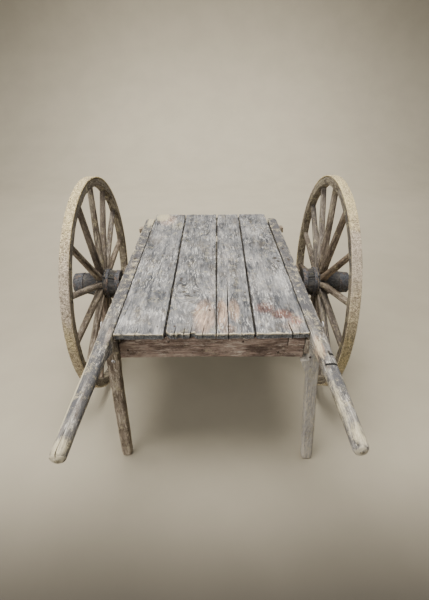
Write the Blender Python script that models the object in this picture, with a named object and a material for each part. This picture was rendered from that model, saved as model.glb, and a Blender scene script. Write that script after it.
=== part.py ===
"""A weathered hand cart: a plank deck between two shafts, two legs, an iron axle and spoked wheels."""

import math

import bmesh
import bpy
from mathutils import Matrix, Vector

# Metres. X runs across the cart, +Y to its tail, +Z up. The ground is z = 0.
# Functions work with y measured from the axle; solid() moves it by AXLE_Y.
GAP = 0.0003  # between pieces that touch

# Wheels
WHEEL_RADIUS = 0.510
TYRE_THICK = 0.008
TYRE_WIDTH = 0.039
FELLOE_DEPTH = 0.0365
FELLOE_WIDTH = 0.038
FELLOE_CHAMFER = 0.0045
FELLOES = 7
SPOKES = 14
RIM_STEPS = 84  # sides of the tyre, twelve to a felloe
NAVE_STEPS = 28
SPOKE_WIDTH = 0.027  # round the wheel, at the nave
SPOKE_DEPTH = 0.033  # along the axle, at the nave
NAVE_RADIUS = 0.074
NAVE_LENGTH = 0.234
SPOKE_SEAT = 0.0925  # from the nave's inboard end
DISH = 0.0115  # the spokes' outer ends stand this far outboard of their seats
RIM_INBOARD = 0.005  # the rim's middle is this far inboard of the spokes' ends
BAND_THICK = 0.0028
RECESS_RADIUS = 0.027
RECESS_DEPTH = 0.018

# Deck and shafts
DECK_WIDTH = 0.6752
DECK_LENGTH = 1.291
DECK_BEHIND = 0.642  # from the axle to the deck's tail
PLANK_THICK = 0.023
RAIL_CLEAR = 0.0019  # between the deck and each shaft
RAIL_WIDTH = 0.0495
RAIL_DEPTH = 0.063
SHAFT_LENGTH = 1.705
SHAFT_BEHIND = 0.565
HANDLE_START = 0.783  # share of the shaft's length

# Cross pieces
BEARER_WIDTH = 0.045
BEARER_DEPTH = 0.0387
CROSSBAR_WIDTH = 0.043
CROSSBAR_DEPTH = 0.0327
CROSSBAR_STUB = 0.034  # past each shaft
APRON_THICK = 0.029
APRON_DROP = 0.052  # below the shafts
APRON_SETBACK = 0.014  # behind the legs' front
SHIM_PROUD = 0.007

# Legs
LEG_WIDTH = 0.042
LEG_DEPTH = 0.040
LEG_SETBACK = 0.001  # the legs' front is behind the deck's
LEG_HOLE = 0.006
TONGUE_THICK = 0.0235
TONGUE_PROUD = 0.013  # inside the shaft's inner face
TONGUE_HEIGHT = 0.031

# Axle
BED_DEPTH = 0.084
BED_ABOVE = 0.079  # from the axle's middle to the shafts
BED_BELOW = 0.010
BED_BEYOND = 0.039  # past each shaft
AXLE_SQUARE = 0.032
ARM_RADIUS = 0.0150
ARM_STEPS = 24
BORE_PLAY = 0.0001
COLLAR_RADIUS = 0.028
COLLAR_WIDTH = 0.0115
COLLAR_CLEAR = 0.0015  # from the bed, since the worn arms lean
NAVE_PLAY = 0.003
WASHER_RADIUS = 0.0245
WASHER_THICK = 0.0035
PIN_RADIUS = 0.003
PIN_LENGTH = 0.046
ARM_SHORT = 0.0025  # inside the nave's outboard end

# What follows from the sizes above
AXLE_Y = (SHAFT_LENGTH - SHAFT_BEHIND - DECK_BEHIND) / 2  # the origin is under the middle
RAIL_BOTTOM = WHEEL_RADIUS + BED_ABOVE
DECK_TOP = RAIL_BOTTOM + RAIL_DEPTH
BEARER_TOP = DECK_TOP - PLANK_THICK - GAP
RAIL_IN = DECK_WIDTH / 2 + RAIL_CLEAR
RAIL_OUT = RAIL_IN + RAIL_WIDTH
RAIL_MIDDLE = (RAIL_IN + RAIL_OUT) / 2
TONGUE_IN = RAIL_IN - TONGUE_PROUD
TONGUE_OUT = TONGUE_IN + TONGUE_THICK
TONGUE_TOP = RAIL_BOTTOM + TONGUE_HEIGHT
BED_END = RAIL_OUT + BED_BEYOND
NAVE_START = BED_END + COLLAR_CLEAR + COLLAR_WIDTH + NAVE_PLAY
NAVE_END = NAVE_START + NAVE_LENGTH
SEAT = NAVE_START + SPOKE_SEAT
TRACK = SEAT + DISH - RIM_INBOARD  # middle of each tyre, from the middle of the cart
FELLOE_OUT = WHEEL_RADIUS - TYRE_THICK - GAP
FELLOE_IN = FELLOE_OUT - FELLOE_DEPTH
SPOKE_END = FELLOE_IN * math.cos(math.pi / RIM_STEPS) - GAP
LEG_AHEAD = DECK_LENGTH - DECK_BEHIND - LEG_SETBACK  # from the axle to the legs' front
APRON_HALF = TONGUE_IN - GAP
APRON_HEIGHT = APRON_DROP + BEARER_TOP - RAIL_BOTTOM
APRON_FRONT = APRON_SETBACK - LEG_AHEAD
SHIM_START, SHIM_SEAT = 0.8185, 0.572  # shares of the apron's half length and height

# Base colour, roughness, metallic
FINISHES = {
    "silver_wood": ((0.36, 0.35, 0.33), 0.85, 0.0),
    "brown_wood": ((0.22, 0.18, 0.145), 0.85, 0.0),
    "dark_wood": ((0.13, 0.115, 0.10), 0.85, 0.0),
    "nave_wood": ((0.10, 0.10, 0.105), 0.75, 0.0),
    "crusted_iron": ((0.42, 0.36, 0.27), 0.9, 0.4),
    "old_iron": ((0.12, 0.13, 0.15), 0.6, 0.8),
}

# Plan outline of each plank: share of the deck's width from its middle, share of its length from the front
PLANKS = {
    "deck_plank_1": (
        (-0.5, 0.0012), (-0.2629, 0.0), (-0.2429, 0.0015), (-0.2417, 0.0302),
        (-0.2325, 0.9992), (-0.4917, 1.0), (-0.5, 0.993),
    ),
    "deck_plank_2": (
        (-0.2358, 0.0163), (-0.2207, 0.007), (-0.2103, 0.0008), (0.0204, 0.0),
        (0.0213, 0.0302), (0.0447, 0.9365), (0.0459, 0.9985), (-0.2273, 0.9988),
    ),
    "deck_plank_3": (
        (0.0273, 0.0008), (0.0829, 0.0), (0.0889, 0.0999), (0.0995, 0.2936),
        (0.0926, 0.0999), (0.0889, 0.0004), (0.2192, 0.0008), (0.2444, 0.9961),
        (0.0607, 0.9969), (0.0533, 0.9442),
    ),
    "deck_plank_4": (
        (0.2266, 0.0), (0.3999, 0.0004), (0.4017, 0.0534), (0.4046, 0.0004),
        (0.5, 0.0023), (0.5, 0.9938), (0.4932, 0.9985), (0.2525, 0.9985),
    ),
}

# Shaft sections from the tail to the tip: share of its length, then inner and outer side as shares of
# its width, bottom and top as shares of its depth, corner radius as a share of its width
SHAFT = (
    (0.0000, 0.091, 0.616, 0.127, 0.921, 0.080),
    (0.0035, 0.020, 0.798, 0.032, 0.984, 0.080),
    (0.0106, 0.000, 0.939, 0.000, 1.000, 0.060),
    (0.0217, 0.000, 1.000, 0.000, 1.000, 0.060),
    (0.7390, 0.000, 1.000, 0.000, 1.000, 0.060),
    (0.7595, 0.010, 1.004, 0.040, 1.000, 0.100),
    (0.7830, 0.040, 1.020, 0.238, 1.000, 0.200),
    (0.8240, 0.080, 1.040, 0.310, 1.008, 0.320),
    (0.8886, 0.141, 1.050, 0.333, 1.016, 0.384),
    (0.9472, 0.202, 1.020, 0.389, 1.008, 0.364),
    (0.9853, 0.252, 0.980, 0.429, 0.984, 0.343),
    (0.9953, 0.303, 0.919, 0.468, 0.937, 0.293),
    (1.0000, 0.414, 0.798, 0.556, 0.841, 0.182),
)
# Per side: how much the tip sags, how much shorter the handle is
SHAFTS = {"left": (0.002, 0.0), "right": (0.016, 0.027)}

# Leg sections from the foot up: share of the leg's length less a share of the apron's drop, share of the
# flare, share of the width, front and back inset as shares of the depth, corner radius as a share of
# the width
LEG = (
    (0.000, 0.00, 0.0, 0.571, 0.225, 0.250, 0.214),
    (0.010, 0.00, 0.0, 0.786, 0.125, 0.138, 0.262),
    (0.037, 0.00, 0.0, 0.881, 0.063, 0.075, 0.262),
    (0.238, 0.00, 0.0, 0.952, 0.025, 0.025, 0.200),
    (1.000, 2.67, 0.0, 0.976, 0.000, 0.000, 0.120),
    (1.000, 1.13, 1.0, 1.000, 0.000, 0.000, 0.070),
    (1.000, 1.04, 0.0, 1.000, 0.000, 0.000, 0.070),
    (1.000, 0.00, 0.0, 1.000, 0.000, 0.000, 0.070),
)
# Per side: foot's and head's middle outboard of the shaft's middle, flare towards the middle of the cart,
# how far the head stands back, and the foot behind it
LEGS = {"left": (0.0018, -0.0100, 0.004, 0.003, 0.022), "right": (0.0340, -0.0040, 0.026, 0.0, 0.0)}

# Front view of the apron, a broken top corner on its left and a seat for the shim on its right:
# share of its half length, share of its height
APRON = (
    (-1.0, 0.020), (-0.15, 0.055), (1.0, 0.0), (1.0, 0.567), (SHIM_START, SHIM_SEAT - 0.003),
    (0.814, 1.0), (-0.705, 1.0), (-0.889, 0.85), (-1.0, 0.70),
)

# Cross pieces that carry the deck: name, middle behind the axle, width, depth, half length
BEARERS = (
    ("deck_bearer_front", -0.3525, BEARER_WIDTH, BEARER_DEPTH, RAIL_IN - GAP),
    ("deck_bearer_middle", -0.0375, BEARER_WIDTH, BEARER_DEPTH, RAIL_IN - GAP),
    ("rear_crossbar", 0.4775, CROSSBAR_WIDTH, CROSSBAR_DEPTH, RAIL_OUT + CROSSBAR_STUB),
)

# Nave profile from its inboard end: share of its length, share of its radius
NAVE = (
    (0.000, 0.784), (0.009, 0.818), (0.111, 0.845), (0.229, 0.932), (0.301, 0.946), (0.308, 1.0),
    (0.469, 1.0), (0.484, 0.946), (0.581, 0.845), (0.769, 0.696), (0.985, 0.635), (1.0, 0.595),
)
# Iron bands: start and end as shares of the nave's length, inner radius there as shares of its radius
BANDS = (
    ("nave_band_inner", 0.011, 0.107, 0.828, 0.851),
    ("nave_band_middle", 0.233, 0.299, 0.942, 0.951),
    ("nave_band_outer", 0.778, 0.983, 0.697, 0.643),
)
# Spoke sections: share of the nave's radius, share of the way from there to the rim, then shares of the
# spoke's width and depth
SPOKE = (
    (0.81, 0.000, 0.963, 0.909), (1.00, 0.023, 1.000, 1.000), (1.00, 0.194, 0.970, 0.950),
    (1.00, 0.911, 0.870, 0.790), (1.00, 1.000, 0.850, 0.760),
)
# Angle of the first spoke, from the tail up, in degrees
PHASE = {"left": 5.1, "right": 9.8}
# The worn arms' stance, in degrees: turned about the vertical, then leaned about the cart's length
STANCE = {"left": (-0.47, -0.39), "right": (-0.72, 1.55)}
SIDES = (("left", -1), ("right", 1))


def clear():
    for item in list(bpy.data.objects):
        bpy.data.objects.remove(item, do_unlink=True)


def finish(name):
    """The material of that name, made once."""
    found = bpy.data.materials.get(name)
    if found:
        return found
    colour, rough, metal = FINISHES[name]
    found = bpy.data.materials.new(name)
    found.use_nodes = True
    shader = found.node_tree.nodes["Principled BSDF"]
    shader.inputs["Base Color"].default_value = (*colour, 1.0)
    shader.inputs["Roughness"].default_value = rough
    shader.inputs["Metallic"].default_value = metal
    return found


def solid(name, build, material, origin=(0.0, 0.0, 0.0)):
    """An object from a bmesh in cart coordinates, y from the axle, with its origin moved to that point."""
    origin = Vector(origin)
    bmesh.ops.translate(build, verts=build.verts, vec=-origin)
    bmesh.ops.recalc_face_normals(build, faces=build.faces)
    mesh = bpy.data.meshes.new(name)
    build.to_mesh(mesh)
    build.free()
    item = bpy.data.objects.new(name, mesh)
    item.location = origin + Vector((0.0, AXLE_Y, 0.0))
    mesh.materials.append(finish(material))
    bpy.context.collection.objects.link(item)
    return item


def add_loft(build, rings):
    made = [[build.verts.new(point) for point in ring] for ring in rings]
    for low, high in zip(made, made[1:]):
        for i in range(len(low)):
            j = (i + 1) % len(low)
            build.faces.new((low[i], low[j], high[j], high[i]))
    build.faces.new(made[0])
    build.faces.new(list(reversed(made[-1])))


def loft(rings):
    """A closed bmesh through rings of equally many points, capped at both ends."""
    build = bmesh.new()
    add_loft(build, rings)
    return build


def prism(outline, low, high, place):
    """An outline pushed from low to high; place turns (a, b, depth) into a point."""
    return loft([[place(a, b, depth) for a, b in outline] for depth in (low, high)])


def box(x0, x1, y0, y1, z0, z1):
    return loft([[(x0, y0, z), (x1, y0, z), (x1, y1, z), (x0, y1, z)] for z in (z0, z1)])


def rounded(a0, a1, b0, b1, radius, steps=3):
    """Points round a rectangle with round corners."""
    radius = min(radius, 0.499 * (a1 - a0), 0.499 * (b1 - b0))
    corners = (
        (a1 - radius, b1 - radius, 0), (a0 + radius, b1 - radius, 90),
        (a0 + radius, b0 + radius, 180), (a1 - radius, b0 + radius, 270),
    )
    points = []
    for a, b, start in corners:
        for step in range(steps + 1):
            turn = math.radians(start + 90 * step / steps)
            points.append((a + radius * math.cos(turn), b + radius * math.sin(turn)))
    return points


def ring_turns(count):
    return [2 * math.pi * step / count for step in range(count)]


def turned(outline, steps, phase=0.0):
    """A closed ring about the X axis from its (x, radius) outline, given as a loop."""
    build = bmesh.new()
    rings = []
    for turn in ring_turns(steps):
        turn += phase
        rings.append([
            build.verts.new((x, radius * math.cos(turn), radius * math.sin(turn)))
            for x, radius in outline
        ])
    for k in range(steps):
        near, far = rings[k], rings[(k + 1) % steps]
        for i in range(len(outline)):
            j = (i + 1) % len(outline)
            build.faces.new((near[i], near[j], far[j], far[i]))
    return build


def ring_outline(low, high, inner, outer):
    return [(low, inner), (high, inner), (high, outer), (low, outer)]


def cut(item, name, cutter, operation="DIFFERENCE"):
    """A Boolean with a hidden helper object."""
    helper = solid(name, cutter, "dark_wood", item.location - Vector((0.0, AXLE_Y, 0.0)))
    helper.hide_render = True
    helper.display_type = "WIRE"
    step = item.modifiers.new(name, "BOOLEAN")
    step.operation = operation
    step.solver = "EXACT"
    step.object = helper


def soften(item, width, angle=35.0):
    """Worn edges."""
    step = item.modifiers.new("worn_edges", "BEVEL")
    step.width = width
    step.segments = 1
    step.limit_method = "ANGLE"
    step.angle_limit = math.radians(angle)


def smooth(item, angle=32.0):
    for face in item.data.polygons:
        face.use_smooth = True
    item.data.set_sharp_from_angle(angle=math.radians(angle))


def make_deck():
    front = DECK_BEHIND - DECK_LENGTH

    def place(x, y, z):
        return (x * DECK_WIDTH, front + y * DECK_LENGTH, z)

    for name, outline in PLANKS.items():
        plank = solid(name, prism(outline, DECK_TOP - PLANK_THICK, DECK_TOP, place), "silver_wood")
        soften(plank, PLANK_THICK * 0.05, 50.0)


def make_shaft(side, sign):
    """Squared where it carries the deck, then a round handle, with a mortise and the leg's housing."""
    sag, short = SHAFTS[side]
    rings = []
    for share, inner, outer, bottom, top, radius in SHAFT:
        along = max(0.0, (share - HANDLE_START) / (1 - HANDLE_START))
        low = RAIL_BOTTOM - sag * along**1.5
        ring = rounded(
            RAIL_IN + inner * RAIL_WIDTH, RAIL_IN + outer * RAIL_WIDTH,
            low + bottom * RAIL_DEPTH, low + top * RAIL_DEPTH, radius * RAIL_WIDTH,
        )
        y = SHAFT_BEHIND - share * SHAFT_LENGTH + short * along
        rings.append([(sign * x, y, z) for x, z in ring])
    shaft = solid("shaft_" + side, loft(rings), "silver_wood")
    _, middle, width, depth, _ = BEARERS[2]
    ends = sorted((sign * (RAIL_IN - RAIL_WIDTH), sign * (RAIL_OUT + RAIL_WIDTH)))
    sides = (middle - width / 2 - GAP, middle + width / 2 + GAP)
    mortise = box(*ends, *sides, BEARER_TOP - depth - GAP, BEARER_TOP + GAP)
    cut(shaft, "mortise_" + side, mortise)
    ends = sorted((sign * (RAIL_IN - RAIL_WIDTH), sign * (TONGUE_OUT + GAP)))
    front = LEGS[side][3] - LEG_AHEAD
    sides = (front - GAP, front + LEG_DEPTH + GAP)
    housing = box(*ends, *sides, RAIL_BOTTOM - TONGUE_HEIGHT, TONGUE_TOP + GAP)
    cut(shaft, "housing_" + side, housing)
    smooth(shaft)


def make_cross_pieces():
    for name, middle, width, depth, reach in BEARERS:
        through = reach > RAIL_IN
        rings = []
        for end, worn in ((-1, 1), (-0.975, 0), (0.975, 0), (1, 1)) if through else ((-1, 0), (1, 0)):
            inset = 0.1 * depth * worn
            ring = rounded(
                middle - width / 2 + inset, middle + width / 2 - inset,
                BEARER_TOP - depth + inset, BEARER_TOP - inset, 0.09 * depth, 1,
            )
            rings.append([(end * reach, y, z) for y, z in ring])
        solid(name, loft(rings), "brown_wood")
    base = RAIL_BOTTOM - APRON_DROP

    def place(x, z, y):
        return (x * APRON_HALF, y, base + z * APRON_HEIGHT)

    board = prism(APRON, APRON_FRONT, APRON_FRONT + APRON_THICK, place)
    soften(solid("front_apron", board, "brown_wood"), APRON_THICK * 0.05)
    shim = box(
        SHIM_START * APRON_HALF + GAP, APRON_HALF, APRON_FRONT - SHIM_PROUD,
        APRON_FRONT + 0.9 * APRON_THICK, base + SHIM_SEAT * APRON_HEIGHT + GAP, BEARER_TOP,
    )
    soften(solid("apron_shim", shim, "brown_wood"), APRON_THICK * 0.07)


def make_leg(side, sign):
    """A tapered post under the shaft, with a tongue let into the shaft's inner face."""
    foot, head, flare, back, trail = LEGS[side]
    top = RAIL_BOTTOM - GAP
    front = back - LEG_AHEAD
    rings = []
    for share, down, flared, wide, ahead, behind, radius in LEG:
        z = share * top - down * APRON_DROP
        middle = RAIL_MIDDLE + foot + (head - foot) * z / top
        half, y = wide * LEG_WIDTH / 2, front + trail * (1 - z / top)
        ring = rounded(
            middle - half - flare * flared, middle + half, y + ahead * LEG_DEPTH,
            y + LEG_DEPTH - behind * LEG_DEPTH, radius * LEG_WIDTH, 2,
        )
        rings.append([(sign * x, y, z) for x, y in ring])
    leg = solid("leg_" + side, loft(rings), "brown_wood")
    ends = sorted((sign * TONGUE_IN, sign * TONGUE_OUT))
    tongue = box(*ends, front, front + LEG_DEPTH, RAIL_BOTTOM - APRON_DROP / 2, TONGUE_TOP)
    cut(leg, "tongue_" + side, tongue, "UNION")
    if side == "left":
        x, z = sign * (RAIL_MIDDLE + head) + LEG_HOLE / 2, RAIL_BOTTOM - 1.1 * APRON_DROP
        hole = [
            [(x + LEG_HOLE * math.cos(a), y, z + LEG_HOLE * math.sin(a)) for a in ring_turns(8)]
            for y in (front - LEG_DEPTH, front + 2 * LEG_DEPTH)
        ]
        cut(leg, "leg_hole", loft(hole))
    smooth(leg, 40.0)


def stance(side):
    """Where a wheel stands: its rim's middle, just high enough for the leaned tyre to touch the ground."""
    turn, lean = (math.radians(angle) for angle in STANCE[side])
    height = WHEEL_RADIUS * math.cos(lean) + TYRE_WIDTH / 2 * abs(math.sin(lean))
    place = Matrix.Translation((dict(SIDES)[side] * TRACK, 0, height))
    return place @ Matrix.Rotation(turn, 4, "Z") @ Matrix.Rotation(lean, 4, "Y")


def onto_arm(side, build):
    """Moves a shape made about the X axis onto that side's arm."""
    matrix = stance(side) @ Matrix.Translation((-dict(SIDES)[side] * TRACK, 0, 0))
    bmesh.ops.transform(build, verts=build.verts, matrix=matrix)
    return build


def make_axle():
    """A square iron bar let into the bed from below, with a collar and a round arm at each end."""
    centre, half = WHEEL_RADIUS, AXLE_SQUARE / 2
    sides = (-BED_DEPTH / 2, BED_DEPTH / 2)
    bed = box(-BED_END, BED_END, *sides, centre - BED_BELOW, RAIL_BOTTOM - GAP)
    bed = solid("axle_bed", bed, "dark_wood")
    reach = BED_END + BED_BEYOND
    groove = box(-reach, reach, -half - GAP, half + GAP, centre - 2 * half, centre + half + GAP)
    cut(bed, "axle_groove", groove)
    bar_end = BED_END + COLLAR_CLEAR + COLLAR_WIDTH / 2
    bar = box(-bar_end, bar_end, -half, half, centre - half, centre + half)
    bar = solid("axle", bar, "old_iron")
    collar, tip = BED_END + COLLAR_CLEAR, NAVE_END - ARM_SHORT
    outline = (
        (collar, COLLAR_RADIUS), (collar + COLLAR_WIDTH, COLLAR_RADIUS),
        (collar + COLLAR_WIDTH, ARM_RADIUS), (tip, ARM_RADIUS),
    )
    floor = NAVE_END - RECESS_DEPTH
    for side, sign in SIDES:
        arm = [
            [(sign * x, radius * math.cos(a), radius * math.sin(a)) for a in ring_turns(ARM_STEPS)]
            for x, radius in outline
        ]
        cut(bar, "arm_" + side, onto_arm(side, loft(arm)), "UNION")
        low = floor + GAP
        washer = ring_outline(sign * low, sign * (low + WASHER_THICK), ARM_RADIUS + GAP, WASHER_RADIUS)
        washer = onto_arm(side, turned(washer, ARM_STEPS))
        smooth(solid("axle_washer_" + side, washer, "old_iron"))
        x = sign * (low + WASHER_THICK + GAP + PIN_RADIUS)
        for name, radius, length in (
            ("linchpin_hole_", PIN_RADIUS + GAP, 4 * ARM_RADIUS), ("linchpin_", PIN_RADIUS, PIN_LENGTH),
        ):
            pin = onto_arm(side, loft([
                [(x + radius * math.cos(a), radius * math.sin(a), end * length) for a in ring_turns(12)]
                for end in (-0.5, 0.5)
            ]))
            if radius > PIN_RADIUS:
                cut(bar, name + side, pin)
            else:
                smooth(solid(name + side, pin, "old_iron"))
    smooth(bar)


def wheel_solid(side, name, build, material):
    """A piece of a wheel from a shape made about the X axis; its origin is on the wheel's own axis."""
    return solid(f"wheel_{side}_{name}", onto_arm(side, build), material, stance(side).to_translation())


def make_wheel(side, sign):
    phase = math.radians(PHASE[side])
    joint = phase - math.pi / SPOKES  # the felloe joints fall midway between spokes
    middle, half = sign * TRACK, TYRE_WIDTH / 2
    outline = ring_outline(middle - half, middle + half, WHEEL_RADIUS - TYRE_THICK, WHEEL_RADIUS)
    smooth(wheel_solid(side, "tyre", turned(outline, RIM_STEPS, joint), "crusted_iron"))
    make_felloes(side, middle, joint)
    make_nave(side, sign, phase)
    for name, start, end, first, last in BANDS:
        start, end = NAVE_START + start * NAVE_LENGTH, NAVE_START + end * NAVE_LENGTH
        first, last = first * NAVE_RADIUS + GAP, last * NAVE_RADIUS + GAP
        outline = [
            (sign * start, first), (sign * end, last),
            (sign * end, last + BAND_THICK), (sign * start, first + BAND_THICK),
        ]
        smooth(wheel_solid(side, name, turned(outline, NAVE_STEPS, phase), "old_iron"))


def make_felloes(side, middle, joint):
    """Seven arcs of wood, each with its inner corners taken off between the spokes."""
    half = FELLOE_WIDTH / 2
    span = 2 * math.pi / FELLOES
    steps = RIM_STEPS // FELLOES
    for number in range(FELLOES):
        rings = []
        for step in range(steps + 1):
            turn = joint + number * span + span * step / steps
            turn += {0: 1, steps: -1}.get(step, 0) * GAP / 2 / FELLOE_IN
            worn = FELLOE_CHAMFER if step in (1, 2, 5, 6, 7, 10, 11) else FELLOE_CHAMFER / 3
            section = (
                (middle - half, FELLOE_OUT), (middle + half, FELLOE_OUT),
                (middle + half, FELLOE_IN + worn), (middle + half - worn, FELLOE_IN),
                (middle - half + worn, FELLOE_IN), (middle - half, FELLOE_IN + worn),
            )
            rings.append([(x, r * math.cos(turn), r * math.sin(turn)) for x, r in section])
        smooth(wheel_solid(side, f"felloe_{number + 1}", loft(rings), "brown_wood"))


def make_nave(side, sign, phase):
    """The turned hub, bored for the arm and recessed for the washer, with its spokes."""
    floor, bore = NAVE_END - RECESS_DEPTH, ARM_RADIUS + BORE_PLAY
    outline = [(NAVE_START + x * NAVE_LENGTH, radius * NAVE_RADIUS) for x, radius in NAVE]
    outline += [(NAVE_END, RECESS_RADIUS), (floor, RECESS_RADIUS), (floor, bore), (NAVE_START, bore)]
    outline = [(sign * x, radius) for x, radius in outline]
    nave = turned(outline, NAVE_STEPS, phase)
    nave = wheel_solid(side, "nave_and_spokes", nave, "nave_wood")
    spokes = bmesh.new()
    for number in range(SPOKES):
        turn = phase + 2 * math.pi * number / SPOKES
        along = Vector((0, math.cos(turn), math.sin(turn)))
        across = Vector((0, -math.sin(turn), math.cos(turn)))
        rings = []
        for base, share, wide, deep in SPOKE:
            radius = base * NAVE_RADIUS + share * (SPOKE_END - NAVE_RADIUS)
            wide, deep = wide * SPOKE_WIDTH / 2, deep * SPOKE_DEPTH / 2
            middle = Vector((sign * (SEAT + DISH * radius / SPOKE_END), 0, 0))
            ring = rounded(-wide, wide, -deep, deep, wide * 0.6, 1)
            rings.append([along * radius + across * a + middle + Vector((b, 0, 0)) for a, b in ring])
        add_loft(spokes, rings)
    cut(nave, "spokes_" + side, onto_arm(side, spokes), "UNION")
    smooth(nave)


def main():
    clear()
    make_deck()
    make_cross_pieces()
    make_axle()
    for side, sign in SIDES:
        make_shaft(side, sign)
        make_leg(side, sign)
        make_wheel(side, sign)


main()
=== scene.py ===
import math

import bpy
import numpy as np
from mathutils import Matrix, Vector

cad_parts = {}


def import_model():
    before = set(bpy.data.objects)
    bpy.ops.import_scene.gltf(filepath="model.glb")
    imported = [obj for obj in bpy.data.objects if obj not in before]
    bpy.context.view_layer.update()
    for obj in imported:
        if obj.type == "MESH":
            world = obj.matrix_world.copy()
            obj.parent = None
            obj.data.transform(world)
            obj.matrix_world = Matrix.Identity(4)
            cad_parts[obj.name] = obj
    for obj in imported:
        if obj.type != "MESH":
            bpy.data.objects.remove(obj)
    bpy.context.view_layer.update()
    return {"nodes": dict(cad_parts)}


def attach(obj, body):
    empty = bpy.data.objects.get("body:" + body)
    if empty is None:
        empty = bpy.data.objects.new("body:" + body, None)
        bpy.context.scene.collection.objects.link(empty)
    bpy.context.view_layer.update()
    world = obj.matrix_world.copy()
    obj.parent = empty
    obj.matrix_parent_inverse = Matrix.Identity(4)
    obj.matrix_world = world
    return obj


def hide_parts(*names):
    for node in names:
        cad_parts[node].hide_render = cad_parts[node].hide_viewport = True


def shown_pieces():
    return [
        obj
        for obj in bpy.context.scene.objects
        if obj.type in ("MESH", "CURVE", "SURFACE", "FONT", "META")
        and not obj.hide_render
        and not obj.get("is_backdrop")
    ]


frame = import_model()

# Weathered hand cart. Metres: x across, y from the handles to the tail, z up.
axleY, wheelRadius, track = 0.249, 0.51, 0.543
deckFront, deckLong, deckTop, plankThick = -0.4, 1.291, 0.652, 0.023
railIn, railWide, railBottom, railDeep = 0.3395, 0.0495, 0.589, 0.063
timberTop, legHigh, apronWide = 0.6287, 0.5887, 0.6524
sides = (("left", -1), ("right", 1))
print("frame loaded:", len(frame["nodes"]), "nodes")


# Noise for the shapes
def corner(i, j, k, seed):
    n = (i * 73856093) ^ (j * 19349663) ^ (k * 83492791) ^ (seed * 40503 + 977)
    n = ((n ^ (n >> 13)) * 1274126177) & 0xFFFFFFFF
    return ((n ^ (n >> 15)) & 0xFFFF) / 65535.0


def smoothNoise(where, size, seed=0):  # -1 to 1; size is the spacing on each axis, in metres
    p = where / np.asarray(size, float)
    base = np.floor(p).astype(np.int64)
    f = p - base
    f = f * f * f * (f * (f * 6 - 15) + 10)
    total = np.zeros(len(p))
    for dx in (0, 1):
        for dy in (0, 1):
            for dz in (0, 1):
                weight = np.abs(1 - dx - f[:, 0]) * np.abs(1 - dy - f[:, 1]) * np.abs(1 - dz - f[:, 2])
                total += weight * corner(base[:, 0] + dx, base[:, 1] + dy, base[:, 2] + dz, seed)
    return total * 2 - 1


def roughNoise(where, size, seed=0, octaves=3):
    size, total, amount, most = np.array(size, float), np.zeros(len(where)), 1.0, 0.0
    for step in range(octaves):
        total += amount * smoothNoise(where, size, seed + 31 * step)
        most, amount, size = most + amount, amount * 0.55, size / 2.07
    return total / most


def ease(x, low, high):
    t = np.clip((x - low) / (high - low), 0, 1)
    return t * t * (3 - 2 * t)


# Meshes
def boxGrid(na, nb, nc):  # the skin of a block of cells: lattice places and faces
    skin = np.zeros((na + 1, nb + 1, nc + 1), bool)
    skin[[0, -1]] = True
    skin[:, [0, -1]] = True
    skin[:, :, [0, -1]] = True
    ids = np.full(skin.shape, -1)
    ids[skin] = np.arange(skin.sum())

    def quads(grid, turn):
        made = np.stack([grid[:-1, :-1], grid[1:, :-1], grid[1:, 1:], grid[:-1, 1:]], -1).reshape(-1, 4)
        return made[:, ::-1] if turn else made

    faces = [quads(ids[0], True), quads(ids[-1], False), quads(ids[:, 0], False)]
    faces += [quads(ids[:, -1], True), quads(ids[:, :, 0], True), quads(ids[:, :, -1], False)]
    return np.argwhere(skin), np.concatenate(faces)


def facing(points, faces):
    a, b, c, d = (points[faces[:, i]] for i in range(4))
    return np.cross(c - a, d - b)


def outward(points, faces):  # faces turned so that the solid's volume is positive
    middle = points[faces].mean(1)
    return faces if (middle * facing(points, faces)).sum() > 0 else faces[:, ::-1]


def normalsOf(points, faces):
    flat, total = facing(points, faces), np.zeros_like(points)
    for i in range(4):
        for k in range(3):
            total[:, k] += np.bincount(faces[:, i], flat[:, k], len(points))
    return total / (np.linalg.norm(total, axis=1, keepdims=True) + 1e-15)


def stations(length, step, low=0.003, high=0.003, extra=()):  # places along a timber, close together at its worn ends
    bend = np.array([0, 0.06, 0.22, 0.5, 0.8])
    middle = np.linspace(low, length - high, max(2, int((length - low - high) / step)) + 1)
    return np.unique(np.concatenate([bend * low, middle, length - bend * high, np.asarray(extra, float)]).round(6))


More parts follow.
